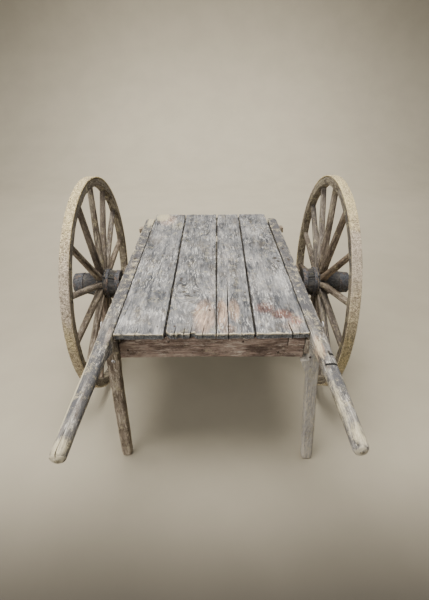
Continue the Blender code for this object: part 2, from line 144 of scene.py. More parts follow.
def gridLines(step, half, middle, radius, ws, cracks, seed):
    # places across a face, -1 to 1, at every station: closer in the rounded corners, five to each crack
    rim = np.clip(radius / half, 0.02, 0.85)
    none = np.zeros(len(ws))
    fixed = [(-1 + none, none)] + [(-1 + k * rim, none) for k in (0.3, 0.65, 1.0)]
    for crack in sorted(cracks, key=lambda c: c["at"][0]):
        start, end = crack["span"]
        share = np.clip((ws - start) / (end - start), 0, 1)
        inside = (ws >= start) & (ws <= end)
        slow = np.stack([ws, none + crack["at"][0], none], 1)
        wander = crack.get("wander", 0.0015) * roughNoise(slow, (0.09, 1, 1), seed + int(1000 * abs(crack["at"][0])))
        line = crack["at"][0] + (crack["at"][1] - crack["at"][0]) * share + wander * ease(ws, start, start + 0.02)
        fade = 1 - share if crack.get("opens", "low") == "low" else share
        if crack.get("opens") == "middle":
            fade = 4 * share * (1 - share)
        wide = np.where(inside, crack["wide"] * np.clip(fade, 0, 1) ** 0.6, 0) / 2 + 0.00012
        deep = np.where(inside, crack["deep"] * np.clip(fade * 2.5, 0, 1), 0)
        for side, share in ((-1, 0), (-0.5, 0.75), (0, 1), (0.5, 0.75), (1, 0)):
            fixed.append(((line + side * wide - middle) / half, share * deep))
    fixed += [(1 - k * rim, none) for k in (1.0, 0.65, 0.3)] + [(1 + none, none)]
    places, depths = [fixed[0][0]], [fixed[0][1]]
    for (near, _), (far, deep) in zip(fixed, fixed[1:]):
        count = int(np.median((far - near) * half) / step)
        for i in range(1, count + 1 if count > 1 else 1):
            places.append(near + (far - near) * i / (count + 1))
            depths.append(none)
        places.append(far)
        depths.append(deep)
    return np.minimum(np.maximum.accumulate(places, 0), 1), np.array(depths)


def timber(ws, limits, world, look):
    # a timber from its section limits at each station, in its own u (across), v (deep), w (along)
    u0, u1, v0, v1, r = (np.array(np.broadcast_to(x, ws.shape), float) for x in limits(ws))
    midU, midV, halfU, halfV = (u0 + u1) / 2, (v0 + v1) / 2, (u1 - u0) / 2, (v1 - v0) / 2
    low, high = look.get("endRound", (0.003, 0.003))
    for reach, away in ((low, ws - ws[0]), (high, ws[-1] - ws)):
        if reach:
            inset = reach - np.sqrt(np.maximum(reach**2 - np.maximum(reach - away, 0) ** 2, 0))
            halfU, halfV = halfU - inset, halfV - inset
    seed, cracks = look["seed"], look.get("cracks", ())
    topLines = [crack for crack in cracks if crack.get("face") != "outer"]
    sideLines = [crack for crack in cracks if crack.get("face") == "outer"]
    pLines, pDeep = gridLines(look["across"], halfU, midU, r, ws, topLines, seed)
    qLines, qDeep = gridLines(look["deep"], halfV, midV, r, ws, sideLines, seed + 5)
    cells, faces = boxGrid(len(pLines) - 1, len(qLines) - 1, len(ws) - 1)
    a, b, c = cells.T
    p, q, halfA, halfB = pLines[a, c], qLines[b, c], halfU[c], halfV[c]
    m = np.maximum(np.maximum(np.abs(p), np.abs(q)), 1e-6)
    radius = np.minimum(r[c], 0.98 * np.minimum(halfA, halfB))
    flatP, flatQ = p / m * halfA, q / m * halfB
    insideP = np.clip(flatP, radius - halfA, halfA - radius)
    insideQ = np.clip(flatQ, radius - halfB, halfB - radius)
    dp, dq = flatP - insideP, flatQ - insideQ
    away = np.hypot(dp, dq) + 1e-12
    u = midU[c] + m * (insideP + dp / away * radius)
    v = midV[c] + m * (insideQ + dq / away * radius)
    cut, sunk = pDeep[a, c], qDeep[b, c]
    v -= cut * (q + 1) / 2
    u -= sunk * (p + 1) / 2
    w = ws[c].copy()
    ends = (c == 0).astype(float) + (c == len(ws) - 1)
    w += (c == len(ws) - 1) * look.get("dome", 0) * (1 - m**2)
    if "trim" in look:
        w = look["trim"](u, v, w)
    gapA, gapB, gapC = halfA * (1 - np.abs(p)), halfB * (1 - np.abs(q)), np.minimum(ws[c] - ws[0], ws[-1] - ws[c])
    reach, square = look.get("edgeReach", 0.006), np.clip(1.25 - radius / np.minimum(halfA, halfB), 0.25, 1)
    longEdge = np.exp(-np.maximum(gapA, gapB) / reach) * square
    endEdge = np.exp(-np.maximum(gapC, np.minimum(gapA, gapB)) / reach)
    edge = np.maximum(longEdge, endEdge)
    points = world(u, v, w)
    faces = outward(points, faces)
    grain = np.stack([u + 0.37 * seed, v + 0.21 * seed, w + 0.83 * seed], 1)
    normals = normalsOf(points, faces)
    ridge = 1 - 2 * np.abs(smoothNoise(grain, (0.0055, 0.0055, 0.16), seed))
    fine = np.where(
        ends > 0, roughNoise(grain, (0.004,) * 3, seed + 9), roughNoise(grain, (0.006, 0.006, 0.03), seed + 9))
    move = look["ridge"] * (ridge - 0.75) * (1 - ends) + look["pit"] * (fine - 0.35)
    move += look["wave"] * (roughNoise(grain, (0.06, 0.06, 0.35), seed + 2) - look.get("inset", 0.35))
    move -= look["ding"] * edge * np.clip(roughNoise(grain, (0.014, 0.014, 0.035), seed + 4) + 0.15, 0, 1)
    move -= look.get("endRough", 0.0015) * ends * np.clip(roughNoise(grain, (0.012, 0.007, 0.02), seed + 6) + 0.5, 0, 2)
    points = points + normals * move[:, None]
    deepest = max([crack["deep"] for crack in cracks], default=1)
    longPale, endPale = look.get("paleEdges", (0.6, 0.8))
    bare = np.maximum(longEdge * longPale, endEdge * endPale * (ease(q, -0.3, 0.5) if look.get("topOnly") else 1))
    wear = np.stack([bare, np.clip(ends, 0, 1), np.clip(np.maximum(cut, sunk) / deepest, 0, 1)], 1)
    stain = np.tile(np.array(look.get("tint", (0, 0, 0)) + look.get("marks", (0, 0, 0)), float), (len(points), 1))
    if "grimeReach" in look:  # dirt gathers along the joints and under the ends
        stain[:, 3] += 0.75 * np.exp(-gapA / look["grimeReach"]) + ends * ease(-q, 0.0, 1.0)
    for kind, atU, atW, ru, rw, amount in look.get("spots", ()):
        far = np.hypot((u - atU) / ru, (w - atW) / rw)
        channel = ("tan", "red", "knot", "grime", "lichen", "bleach").index(kind)
        soft = np.exp(-(far**2)) if kind == "knot" else 1 - ease(far, 0.35, 1.15)
        stain[:, channel] = np.maximum(stain[:, channel], amount * soft * (q > -0.5))
        if kind == "knot":  # the grain bends round a knot
            grain[:, 0] -= (u - atU) * 0.85 * np.exp(-(np.hypot((u - atU) / (2.2 * ru), (w - atW) / (3.5 * rw)) ** 2))
    return points, faces, grain, wear, stain[:, :3], stain[:, 3:]


def ringFaces(around, across):  # the skin of a ring made of closed outlines
    ids = np.arange(around * across).reshape(around, across)
    far = np.roll(ids, -1, 0)
    return np.stack([ids, np.roll(ids, -1, 1), np.roll(far, -1, 1), far], -1).reshape(-1, 4)


def turned(profile, count, place, look):
    # a ring about the wheel's axis from its closed (x, radius) outline
    turn = 2 * np.pi * np.arange(count) / count
    x, r = np.array(profile, float).T
    k = len(x)
    across, turns = np.tile(x, count), np.repeat(turn, k)
    radii = np.tile(r, count)
    points = place(across, radii, turns)
    faces = outward(points, ringFaces(count, k))
    flat = np.stack([radii * np.cos(turns), radii * np.sin(turns), across], 1)
    grain = flat + 0.31 * look["seed"]
    move = look["move"](flat, across, radii, turns)
    points = points + normalsOf(points, faces) * move[:, None]
    none = np.zeros_like(points)
    wear = look["wear"](flat, across, radii, turns) if "wear" in look else none
    marks = look["marks"](flat, across, radii, turns) if "marks" in look else none
    return points, faces, grain, wear, none, marks


def alongLine(corners, step):  # points every step along an open line
    made = []
    for (x0, y0), (x1, y1) in zip(corners, corners[1:]):
        count = max(1, int(round(math.hypot(x1 - x0, y1 - y0) / step)))
        made += [(x0 + (x1 - x0) * i / count, y0 + (y1 - y0) * i / count) for i in range(count)]
    return made + [corners[-1]]


def makePiece(name, parts, material, body, nodes=()):
    starts = np.cumsum([0] + [len(part[0]) for part in parts])
    points = np.concatenate([part[0] for part in parts])
    faces = np.concatenate([part[1] + start for part, start in zip(parts, starts)])
    mesh = bpy.data.meshes.new(name)
    mesh.from_pydata(points.tolist(), [], faces.tolist())
    for i, label in enumerate(("grain", "wear", "stain", "marks")):
        values = np.concatenate([part[2 + i] for part in parts]).astype(np.float32)
        mesh.attributes.new(label, "FLOAT_VECTOR", "POINT").data.foreach_set("vector", values.ravel())
    mesh.polygons.foreach_set("use_smooth", [True] * len(mesh.polygons))
    mesh.materials.append(material)
    piece = bpy.data.objects.new(name, mesh)
    bpy.context.collection.objects.link(piece)
    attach(piece, body)
    if nodes:
        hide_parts(*nodes)
    return piece


# Shader helpers
def feed(tree, made, inputs):
    for key, value in dict(inputs).items():
        if isinstance(value, bpy.types.NodeSocket):
            tree.links.new(value, made.inputs[key])
        else:
            made.inputs[key].default_value = value
    return made


def put(tree, kind, inputs=(), **options):
    made = tree.nodes.new("ShaderNode" + kind)
    for key, value in options.items():
        setattr(made, key, value)
    return feed(tree, made, inputs)


def sums(tree, how, a, b=0.0, clamp=False):
    return put(tree, "Math", {0: a, 1: b}, operation=how, use_clamp=clamp).outputs[0]


def plus(tree, a, b, clamp=False):
    return sums(tree, "ADD", a, b, clamp)


def minus(tree, a, b):
    return sums(tree, "SUBTRACT", a, b)


def times(tree, a, b, clamp=False):
    return sums(tree, "MULTIPLY", a, b, clamp)


def between(tree, value, low, high, start=0.0, end=1.0):
    inputs = {"Value": value, "From Min": low, "From Max": high, "To Min": start, "To Max": end}
    return put(tree, "MapRange", inputs, interpolation_type="SMOOTHSTEP").outputs[0]


def paint(tree, amount, under, over, how="MIX"):
    inputs = {0: amount, 6: under if isinstance(under, bpy.types.NodeSocket) else (*under, 1)}
    inputs[7] = over if isinstance(over, bpy.types.NodeSocket) else (*over, 1)
    return put(tree, "Mix", inputs, data_type="RGBA", blend_type=how, clamp_factor=True).outputs[2]


def shaded(tree, colour, value):  # the colour made lighter or darker
    return paint(tree, 1.0, colour, put(tree, "CombineColor", {0: value, 1: value, 2: value}).outputs[0], "MULTIPLY")


def stretched(tree, where, x, y, z):
    return put(tree, "VectorMath", {0: where, 1: (x, y, z)}, operation="MULTIPLY").outputs[0]


def speckle(tree, where, scale, detail=3.0, rough=0.55, bend=0.0):
    inputs = {"Vector": where, "Scale": scale, "Detail": detail, "Roughness": rough, "Distortion": bend}
    return put(tree, "TexNoise", inputs).outputs[0]


def effect(name, inputs, outputs):  # an empty shader group with its sockets
    tree = bpy.data.node_groups.new(name, "ShaderNodeTree")
    for label, kind, value in inputs:
        socket = tree.interface.new_socket(label, in_out="INPUT", socket_type="NodeSocket" + kind)
        if value is not None:
            socket.default_value = value
    for label in outputs:
        tree.interface.new_socket(label, in_out="OUTPUT", socket_type="NodeSocketFloat")
    return tree, tree.nodes.new("NodeGroupInput").outputs, tree.nodes.new("NodeGroupOutput").inputs


def weatheredGrain():
    # blotches, growth rings, raised fibres, drying checks, pale splinters and dark pits, all drawn out along the wood
    inputs = [("Grain", "Vector", None), ("Ring Width", "Float", 0.007), ("Checks Amount", "Float", 0.5)]
    tree, given, out = effect(
        "weatheredGrain", inputs, ["Tone", "Rings", "Fibre", "Checks", "Flecks", "Pits", "Height"])
    grain = given["Grain"]
    apart = put(tree, "SeparateXYZ", {0: grain}).outputs
    drift = speckle(tree, stretched(tree, grain, 9, 9, 1.3), 1.0, 2.0)
    side = plus(tree, apart[0], times(tree, drift, 0.05))
    under = plus(tree, apart[1], 0.045)
    pith = sums(tree, "SQRT", plus(tree, times(tree, side, side), times(tree, under, under)))
    wave = sums(tree, "SINE", times(tree, sums(tree, "DIVIDE", pith, given["Ring Width"]), 6.2832))
    rings = sums(tree, "POWER", between(tree, wave, -1.0, 1.0), 2.2)
    blotch = speckle(tree, stretched(tree, grain, 13, 13, 6), 1.0, 6.0, 0.68, 0.3)
    streaks = speckle(tree, stretched(tree, grain, 62, 62, 8), 1.0, 5.0, 0.66, 0.5)
    tone = plus(tree, times(tree, blotch, 0.55), times(tree, streaks, 0.45))
    fibre = speckle(tree, stretched(tree, grain, 520, 520, 26), 1.0, 4.0, 0.65)
    flecks = speckle(tree, stretched(tree, grain, 200, 200, 28), 1.0, 5.0, 0.68, 0.6)
    pits = speckle(tree, stretched(tree, grain, 210, 210, 120), 1.0, 3.0, 0.6, 0.4)
    cells = put(
        tree, "TexVoronoi", {"Vector": stretched(tree, grain, 80, 80, 7), "Scale": 1.0}, feature="DISTANCE_TO_EDGE")
    where = speckle(tree, stretched(tree, grain, 30, 30, 7), 1.0, 3.0)
    thin = between(tree, cells.outputs[0], 0.0, 0.032, 1.0, 0.0)
    bound = minus(tree, 0.95, times(tree, given["Checks Amount"], 0.6))
    checks = times(tree, thin, between(tree, where, bound, plus(tree, bound, 0.12)), True)
    height = plus(tree, times(tree, fibre, 0.6), times(tree, rings, -0.15))
    height = plus(tree, height, times(tree, flecks, 0.55))
    height = minus(tree, height, checks)
    height = minus(tree, height, between(tree, pits, 0.6, 0.7, 0.0, 0.5))
    for label, value in zip(
        ("Tone", "Rings", "Fibre", "Checks", "Flecks", "Pits", "Height"),
        (tone, rings, fibre, checks, flecks, pits, height)):
        tree.links.new(value, out[label])
    return tree


def patchyCover():
    # dirt, lichen, rust or dust lying in patches with a gritty edge
    inputs = [
        ("Where", "Vector", None), ("Size", "Float", 0.08), ("Amount", "Float", 0.3), ("Grit", "Float", 0.5),
        ("Seed", "Float", 0.0)]
    tree, given, out = effect("patchyCover", inputs, ["Mask", "Grain"])
    shift = put(tree, "CombineXYZ", {0: given["Seed"], 1: given["Seed"], 2: given["Seed"]}).outputs[0]
    where = put(tree, "VectorMath", {0: given["Where"], 1: shift}, operation="ADD").outputs[0]
    scale = sums(tree, "DIVIDE", 1.0, given["Size"])
    broad = speckle(tree, where, scale, 5.0, 0.6, 0.3)
    grit = speckle(tree, where, times(tree, scale, 14.0), 3.0, 0.7)
    mixed = plus(tree, broad, times(tree, minus(tree, grit, 0.5), given["Grit"]))
    bound = minus(tree, 0.74, times(tree, given["Amount"], 0.48))
    mask = between(tree, mixed, minus(tree, bound, 0.06), plus(tree, bound, 0.06))
    tree.links.new(mask, out["Mask"])
    tree.links.new(grit, out["Grain"])
    return tree


def wornEdge():
    # bare pale wood or bright metal where corners rub
    inputs = [("Edge", "Float", 0.0), ("Where", "Vector", None), ("Amount", "Float", 0.5)]
    tree, given, out = effect("wornEdge", inputs, ["Mask"])
    uneven = speckle(tree, given["Where"], 60.0, 4.0, 0.65)
    raised = times(tree, given["Edge"], plus(tree, given["Amount"], 0.5))
    raised = plus(tree, raised, minus(tree, times(tree, uneven, 2.6), 1.65))
    tree.links.new(between(tree, raised, 0.0, 0.4), out["Mask"])
    return tree


grainGroup, coverGroup, edgeGroup = weatheredGrain(), patchyCover(), wornEdge()


def useEffect(tree, which, inputs):
    made = tree.nodes.new("ShaderNodeGroup")
    made.node_tree = which
    return feed(tree, made, inputs).outputs


def newMaterial(name):
    material = bpy.data.materials.new(name)
    material.use_nodes = True
    return material, material.node_tree, material.node_tree.nodes["Principled BSDF"]


# Every bare wood on the cart. Colours are linear.
woodLooks = {
    "deckWood": dict(
        dark=(0.062, 0.064, 0.069), mid=(0.175, 0.174, 0.174), pale=(0.35, 0.336, 0.312), ring=0.12, ringWidth=0.008,
        fleck=(0.62, 0.6, 0.56), flecks=0.85, dirt=(0.1, 0.085, 0.068), dirtAmount=0.3, edge=(0.66, 0.57, 0.4),
        edgeAmount=0.66, end=(0.16, 0.158, 0.15), lichen=(0.58, 0.51, 0.32), lichenAmount=0.08, checks=0.36, bump=0.8,
        pits=0.4),
    "shaftWood": dict(
        dark=(0.062, 0.058, 0.056), mid=(0.185, 0.172, 0.157), pale=(0.42, 0.388, 0.335), ring=0.18, ringWidth=0.006,
        fleck=(0.66, 0.62, 0.54), flecks=0.85, dirt=(0.11, 0.083, 0.065), dirtAmount=0.34, edge=(0.62, 0.55, 0.41),
        edgeAmount=0.6, end=(0.4, 0.34, 0.23), lichen=(0.64, 0.555, 0.36), lichenAmount=0.22, checks=0.45, bump=0.9,
        pits=0.45),
    "legWood": dict(
        dark=(0.115, 0.086, 0.061), mid=(0.25, 0.2, 0.15), pale=(0.46, 0.39, 0.295), ring=0.12, ringWidth=0.006,
        fleck=(0.6, 0.53, 0.41), flecks=0.75, dirt=(0.07, 0.048, 0.033), dirtAmount=0.38, edge=(0.52, 0.44, 0.31),
        edgeAmount=0.5, end=(0.22, 0.18, 0.12), lichen=(0.54, 0.47, 0.29), lichenAmount=0.2, checks=0.4, bump=0.9,
        pits=0.5),
    "apronWood": dict(
        dark=(0.104, 0.07, 0.054), mid=(0.275, 0.196, 0.153), pale=(0.5, 0.405, 0.325), ring=0.16, ringWidth=0.007,
        fleck=(0.58, 0.5, 0.41), flecks=0.75, dirt=(0.055, 0.038, 0.03), dirtAmount=0.4, edge=(0.5, 0.42, 0.31),
        edgeAmount=0.5, end=(0.12, 0.095, 0.07), lichen=(0.46, 0.4, 0.26), lichenAmount=0.06, checks=0.38, bump=0.8,
        pits=0.45),
    "spokeWood": dict(
        dark=(0.058, 0.043, 0.031), mid=(0.138, 0.108, 0.08), pale=(0.29, 0.24, 0.18), ring=0.14, ringWidth=0.005,
        fleck=(0.44, 0.38, 0.29), flecks=0.55, dirt=(0.06, 0.043, 0.03), dirtAmount=0.38, edge=(0.4, 0.33, 0.22),
        edgeAmount=0.35, end=(0.1, 0.085, 0.065), lichen=(0.44, 0.38, 0.22), lichenAmount=0.14, checks=0.34, bump=0.8,
        pits=0.4),
    "felloeWood": dict(
        dark=(0.066, 0.051, 0.036), mid=(0.15, 0.122, 0.088), pale=(0.31, 0.262, 0.19), ring=0.14, ringWidth=0.006,
        fleck=(0.46, 0.4, 0.29), flecks=0.55, dirt=(0.052, 0.038, 0.027), dirtAmount=0.42, edge=(0.44, 0.37, 0.24),
        edgeAmount=0.45, end=(0.09, 0.072, 0.05), lichen=(0.5, 0.44, 0.26), lichenAmount=0.22, checks=0.32, bump=0.9,
        pits=0.5),
    "naveWood": dict(
        dark=(0.02, 0.02, 0.021), mid=(0.046, 0.045, 0.046), pale=(0.13, 0.118, 0.104), ring=0.18, ringWidth=0.006,
        fleck=(0.22, 0.205, 0.18), flecks=0.45, dirt=(0.072, 0.053, 0.04), dirtAmount=0.3, edge=(0.22, 0.18, 0.13),
        edgeAmount=0.35, end=(0.06, 0.05, 0.042), lichen=(0.22, 0.2, 0.12), lichenAmount=0.1, checks=0.5, bump=0.9,
        pits=0.4),
    "underWood": dict(
        dark=(0.05, 0.038, 0.029), mid=(0.105, 0.083, 0.063), pale=(0.19, 0.16, 0.122), ring=0.15, ringWidth=0.006,
        fleck=(0.28, 0.24, 0.19), flecks=0.3, dirt=(0.045, 0.034, 0.025), dirtAmount=0.5, edge=(0.26, 0.21, 0.15),
        edgeAmount=0.3, end=(0.16, 0.13, 0.095), lichen=(0.28, 0.25, 0.15), lichenAmount=0.08, checks=0.4, bump=0.7,
        pits=0.4),
}
stains = dict(
    tan=(1.8, 1.34, 1.03), red=(1.02, 0.53, 0.41), knot=(0.045, 0.038, 0.032), grime=(0.085, 0.084, 0.088),
    silver=(0.47, 0.465, 0.45))


def woodMaterial(name):
    look = woodLooks[name]
    material, tree, shader = newMaterial(name)
    read = lambda label: put(tree, "Attribute", attribute_name=label).outputs["Vector"]
    grain = read("grain")
    wear, stain, marks = (put(tree, "SeparateXYZ", {0: read(label)}).outputs for label in ("wear", "stain", "marks"))
    wood = useEffect(
        tree, grainGroup, {"Grain": grain, "Ring Width": look["ringWidth"], "Checks Amount": look["checks"]})
    flat = stretched(tree, grain, 1, 1, 0.4)

    def ragged(value, spread, low, high):  # a mark whose edge follows the splinters
        loose = times(tree, minus(tree, wood["Flecks"], 0.5), spread)
        return between(tree, plus(tree, value, loose), low, high)

    tone = plus(tree, wood["Tone"], times(tree, marks[2], 0.07))
    colour = paint(tree, between(tree, tone, 0.41, 0.52), look["dark"], look["mid"])
    colour = paint(tree, between(tree, tone, 0.5, 0.64), colour, look["pale"])
    colour = paint(tree, times(tree, wood["Rings"], look["ring"]), colour, look["dark"])
    bright = between(tree, wood["Fibre"], 0.28, 0.72, 0.6, 1.4)
    colour = shaded(tree, colour, bright)
    dirt = useEffect(
        tree, coverGroup, {"Where": flat, "Size": 0.04, "Amount": look["dirtAmount"], "Grit": 0.6, "Seed": 3.0})
    colour = paint(tree, times(tree, dirt["Mask"], 0.6), colour, look["dirt"])
    colour = paint(tree, times(tree, ragged(marks[2], 1.2, 0.3, 0.9), 0.6), colour, stains["silver"])
    colour = paint(tree, ragged(stain[0], 1.6, 0.25, 0.9), colour, stains["tan"], "MULTIPLY")
    colour = paint(tree, ragged(stain[1], 2.0, 0.25, 0.9), colour, stains["red"], "MULTIPLY")
    # grime; on the left handle's inner side this is partly painted shade
    colour = paint(tree, times(tree, ragged(marks[0], 1.0, 0.2, 1.0), 0.88), colour, stains["grime"])
    where = plus(tree, speckle(tree, grain, 11.0, 3.0), times(tree, marks[2], 0.5))
    fleck = times(tree, between(tree, wood["Flecks"], 0.53, 0.62), between(tree, where, 0.4, 0.6, 0.15, 1.0))
    fleck = times(tree, fleck, between(tree, marks[0], 0.5, 1.5, 1.0, 0.3))
    colour = paint(tree, times(tree, fleck, look["flecks"]), colour, look["fleck"])
    pits = plus(tree, wood["Pits"], times(tree, stain[2], 0.22))
    pitted = times(tree, between(tree, pits, 0.61, 0.69), plus(tree, look["pits"], stain[2], True))
    colour = paint(tree, pitted, colour, stains["knot"])
    knot = times(tree, ragged(stain[2], 2.4, 0.42, 0.75), 0.85)
    colour = paint(tree, knot, colour, stains["knot"])
    colour = paint(tree, times(tree, wood["Checks"], 0.8), colour, (0.03, 0.027, 0.025))
    edge = useEffect(tree, edgeGroup, {"Edge": wear[0], "Where": flat, "Amount": look["edgeAmount"]})["Mask"]
    colour = paint(tree, times(tree, edge, 0.8), colour, look["edge"])
    endFace = times(tree, wear[1], between(tree, wear[0], 0.2, 0.75, 1.0, 0.1))
    pores = speckle(tree, stretched(tree, grain, 260, 90, 260), 1.0, 3.0, 0.7)
    ending = paint(tree, between(tree, pores, 0.35, 0.65), look["end"], look["dark"])
    colour = paint(tree, endFace, colour, ending)
    growth = useEffect(
        tree, coverGroup, {"Where": grain, "Size": 0.03, "Amount": look["lichenAmount"], "Grit": 1.0, "Seed": 11.0})
    # lichen; on the handles' lit sides the lichen spots are partly painted highlight
    lichen = sums(tree, "MAXIMUM", growth["Mask"], ragged(marks[1], 1.8, 0.3, 0.95))
    colour = paint(tree, times(tree, lichen, 0.75), colour, look["lichen"])
    colour = paint(tree, between(tree, wear[2], 0.02, 0.3), colour, (0.012, 0.011, 0.01))
    tree.links.new(colour, shader.inputs["Base Color"])
    tree.links.new(between(tree, wood["Fibre"], 0.2, 0.8, 0.93, 0.76), shader.inputs["Roughness"])
    height = plus(tree, wood["Height"], times(tree, lichen, 0.35))
    bump = put(tree, "Bump", {"Strength": look["bump"], "Distance": 0.0015, "Height": height})
    tree.links.new(bump.outputs[0], shader.inputs["Normal"])
    shader.inputs["Specular IOR Level"].default_value = 0.2
    return material


# Iron and dirt: the tyres' crust, the bare iron of bands, axle and nails, and the dark fill between the boards, which
# is painted shade
crustLooks = {
    "tyreCrust": dict(
        base=(0.27, 0.198, 0.128), second=(0.57, 0.455, 0.3), pale=(0.92, 0.78, 0.48), dark=(0.09, 0.066, 0.044),
        lichen=(0.86, 0.71, 0.36), mauve=(0.6, 0.5, 0.4), size=0.0105, paleAmount=0.46, darkAmount=0.34, metal=0.05,
        rough=(0.95, 0.82), bump=1.0, distance=0.0028),
    "bandIron": dict(
        base=(0.055, 0.056, 0.06), second=(0.105, 0.108, 0.116), pale=(0.17, 0.105, 0.06), dark=(0.03, 0.03, 0.033),
        size=0.02, paleAmount=0.28, darkAmount=0.32, metal=0.35, rough=(0.8, 0.6), bump=0.45, distance=0.0008),
    "axleIron": dict(
        base=(0.075, 0.072, 0.073), second=(0.12, 0.115, 0.11), pale=(0.17, 0.1, 0.06), dark=(0.035, 0.033, 0.032),
        size=0.018, paleAmount=0.42, darkAmount=0.4, metal=0.45, rough=(0.8, 0.55), bump=0.45, distance=0.0008),
    "nailIron": dict(
        base=(0.05, 0.043, 0.038), second=(0.085, 0.066, 0.052), pale=(0.12, 0.075, 0.048), dark=(0.025, 0.021, 0.019),
        size=0.005, paleAmount=0.4, darkAmount=0.3, metal=0.25, rough=(0.85, 0.65), bump=0.4, distance=0.0003),
    "zincHead": dict(
        base=(0.4, 0.38, 0.36), second=(0.66, 0.64, 0.61), pale=(0.85, 0.82, 0.78), dark=(0.16, 0.13, 0.11),
        size=0.006, paleAmount=0.45, darkAmount=0.3, metal=0.3, rough=(0.7, 0.45), bump=0.4, distance=0.0003),
    # painted shade: the dark fill in the gaps between the deck boards
    "gapShadeFill": dict(
        base=(0.022, 0.019, 0.016), second=(0.036, 0.031, 0.026), pale=(0.07, 0.06, 0.045), dark=(0.01, 0.009, 0.008),
        size=0.012, paleAmount=0.15, darkAmount=0.4, metal=0.0, rough=(1.0, 0.9), bump=0.6, distance=0.0015),
}


def crustMaterial(name):
    look = crustLooks[name]
    material, tree, shader = newMaterial(name)
    where = put(tree, "TexCoord").outputs["Object"]
    marks = put(tree, "SeparateXYZ", {0: put(tree, "Attribute", attribute_name="marks").outputs["Vector"]}).outputs
    fine = speckle(tree, where, 2.2 / look["size"], 6.0, 0.7, 0.5)
    grit = speckle(tree, where, 5.5 / look["size"], 4.0, 0.75)
    colour = paint(tree, between(tree, fine, 0.36, 0.6), look["base"], look["second"])
    cover = {"Where": where, "Size": look["size"], "Amount": look["paleAmount"], "Grit": 1.2, "Seed": 5.0}
    rust = useEffect(tree, coverGroup, cover)
    colour = paint(tree, times(tree, rust["Mask"], 0.85), colour, look["pale"])
    for channel, shade, share in ((0, "mauve", 0.7), (1, "lichen", 0.75)):
        if shade in look:
            broken = plus(tree, marks[channel], times(tree, minus(tree, fine, 0.5), 1.6))
            colour = paint(tree, times(tree, between(tree, broken, 0.25, 0.8), share), colour, look[shade])
    hollow = useEffect(
        tree, coverGroup,
        {"Where": where, "Size": look["size"] * 0.5, "Amount": look["darkAmount"], "Grit": 1.2, "Seed": 17.0})
    colour = paint(tree, times(tree, hollow["Mask"], 0.7), colour, look["dark"])
    bright = between(tree, grit, 0.32, 0.68, 0.5, 1.5)
    colour = shaded(tree, colour, bright)
    tree.links.new(colour, shader.inputs["Base Color"])
    tree.links.new(times(tree, minus(tree, 1.0, rust["Mask"]), look["metal"]), shader.inputs["Metallic"])
    tree.links.new(between(tree, fine, 0.3, 0.7, *look["rough"]), shader.inputs["Roughness"])
    height = plus(tree, times(tree, fine, 0.5), times(tree, grit, 0.5))
    height = minus(tree, height, times(tree, hollow["Mask"], 0.45))
    bump = put(tree, "Bump", {"Strength": look["bump"], "Distance": look["distance"], "Height": height})
    tree.links.new(bump.outputs[0], shader.inputs["Normal"])
    shader.inputs["Specular IOR Level"].default_value = 0.25
    return material


woods = {name: woodMaterial(name) for name in woodLooks}
irons = {name: crustMaterial(name) for name in crustLooks}
print("materials made:", len(woods) + len(irons))


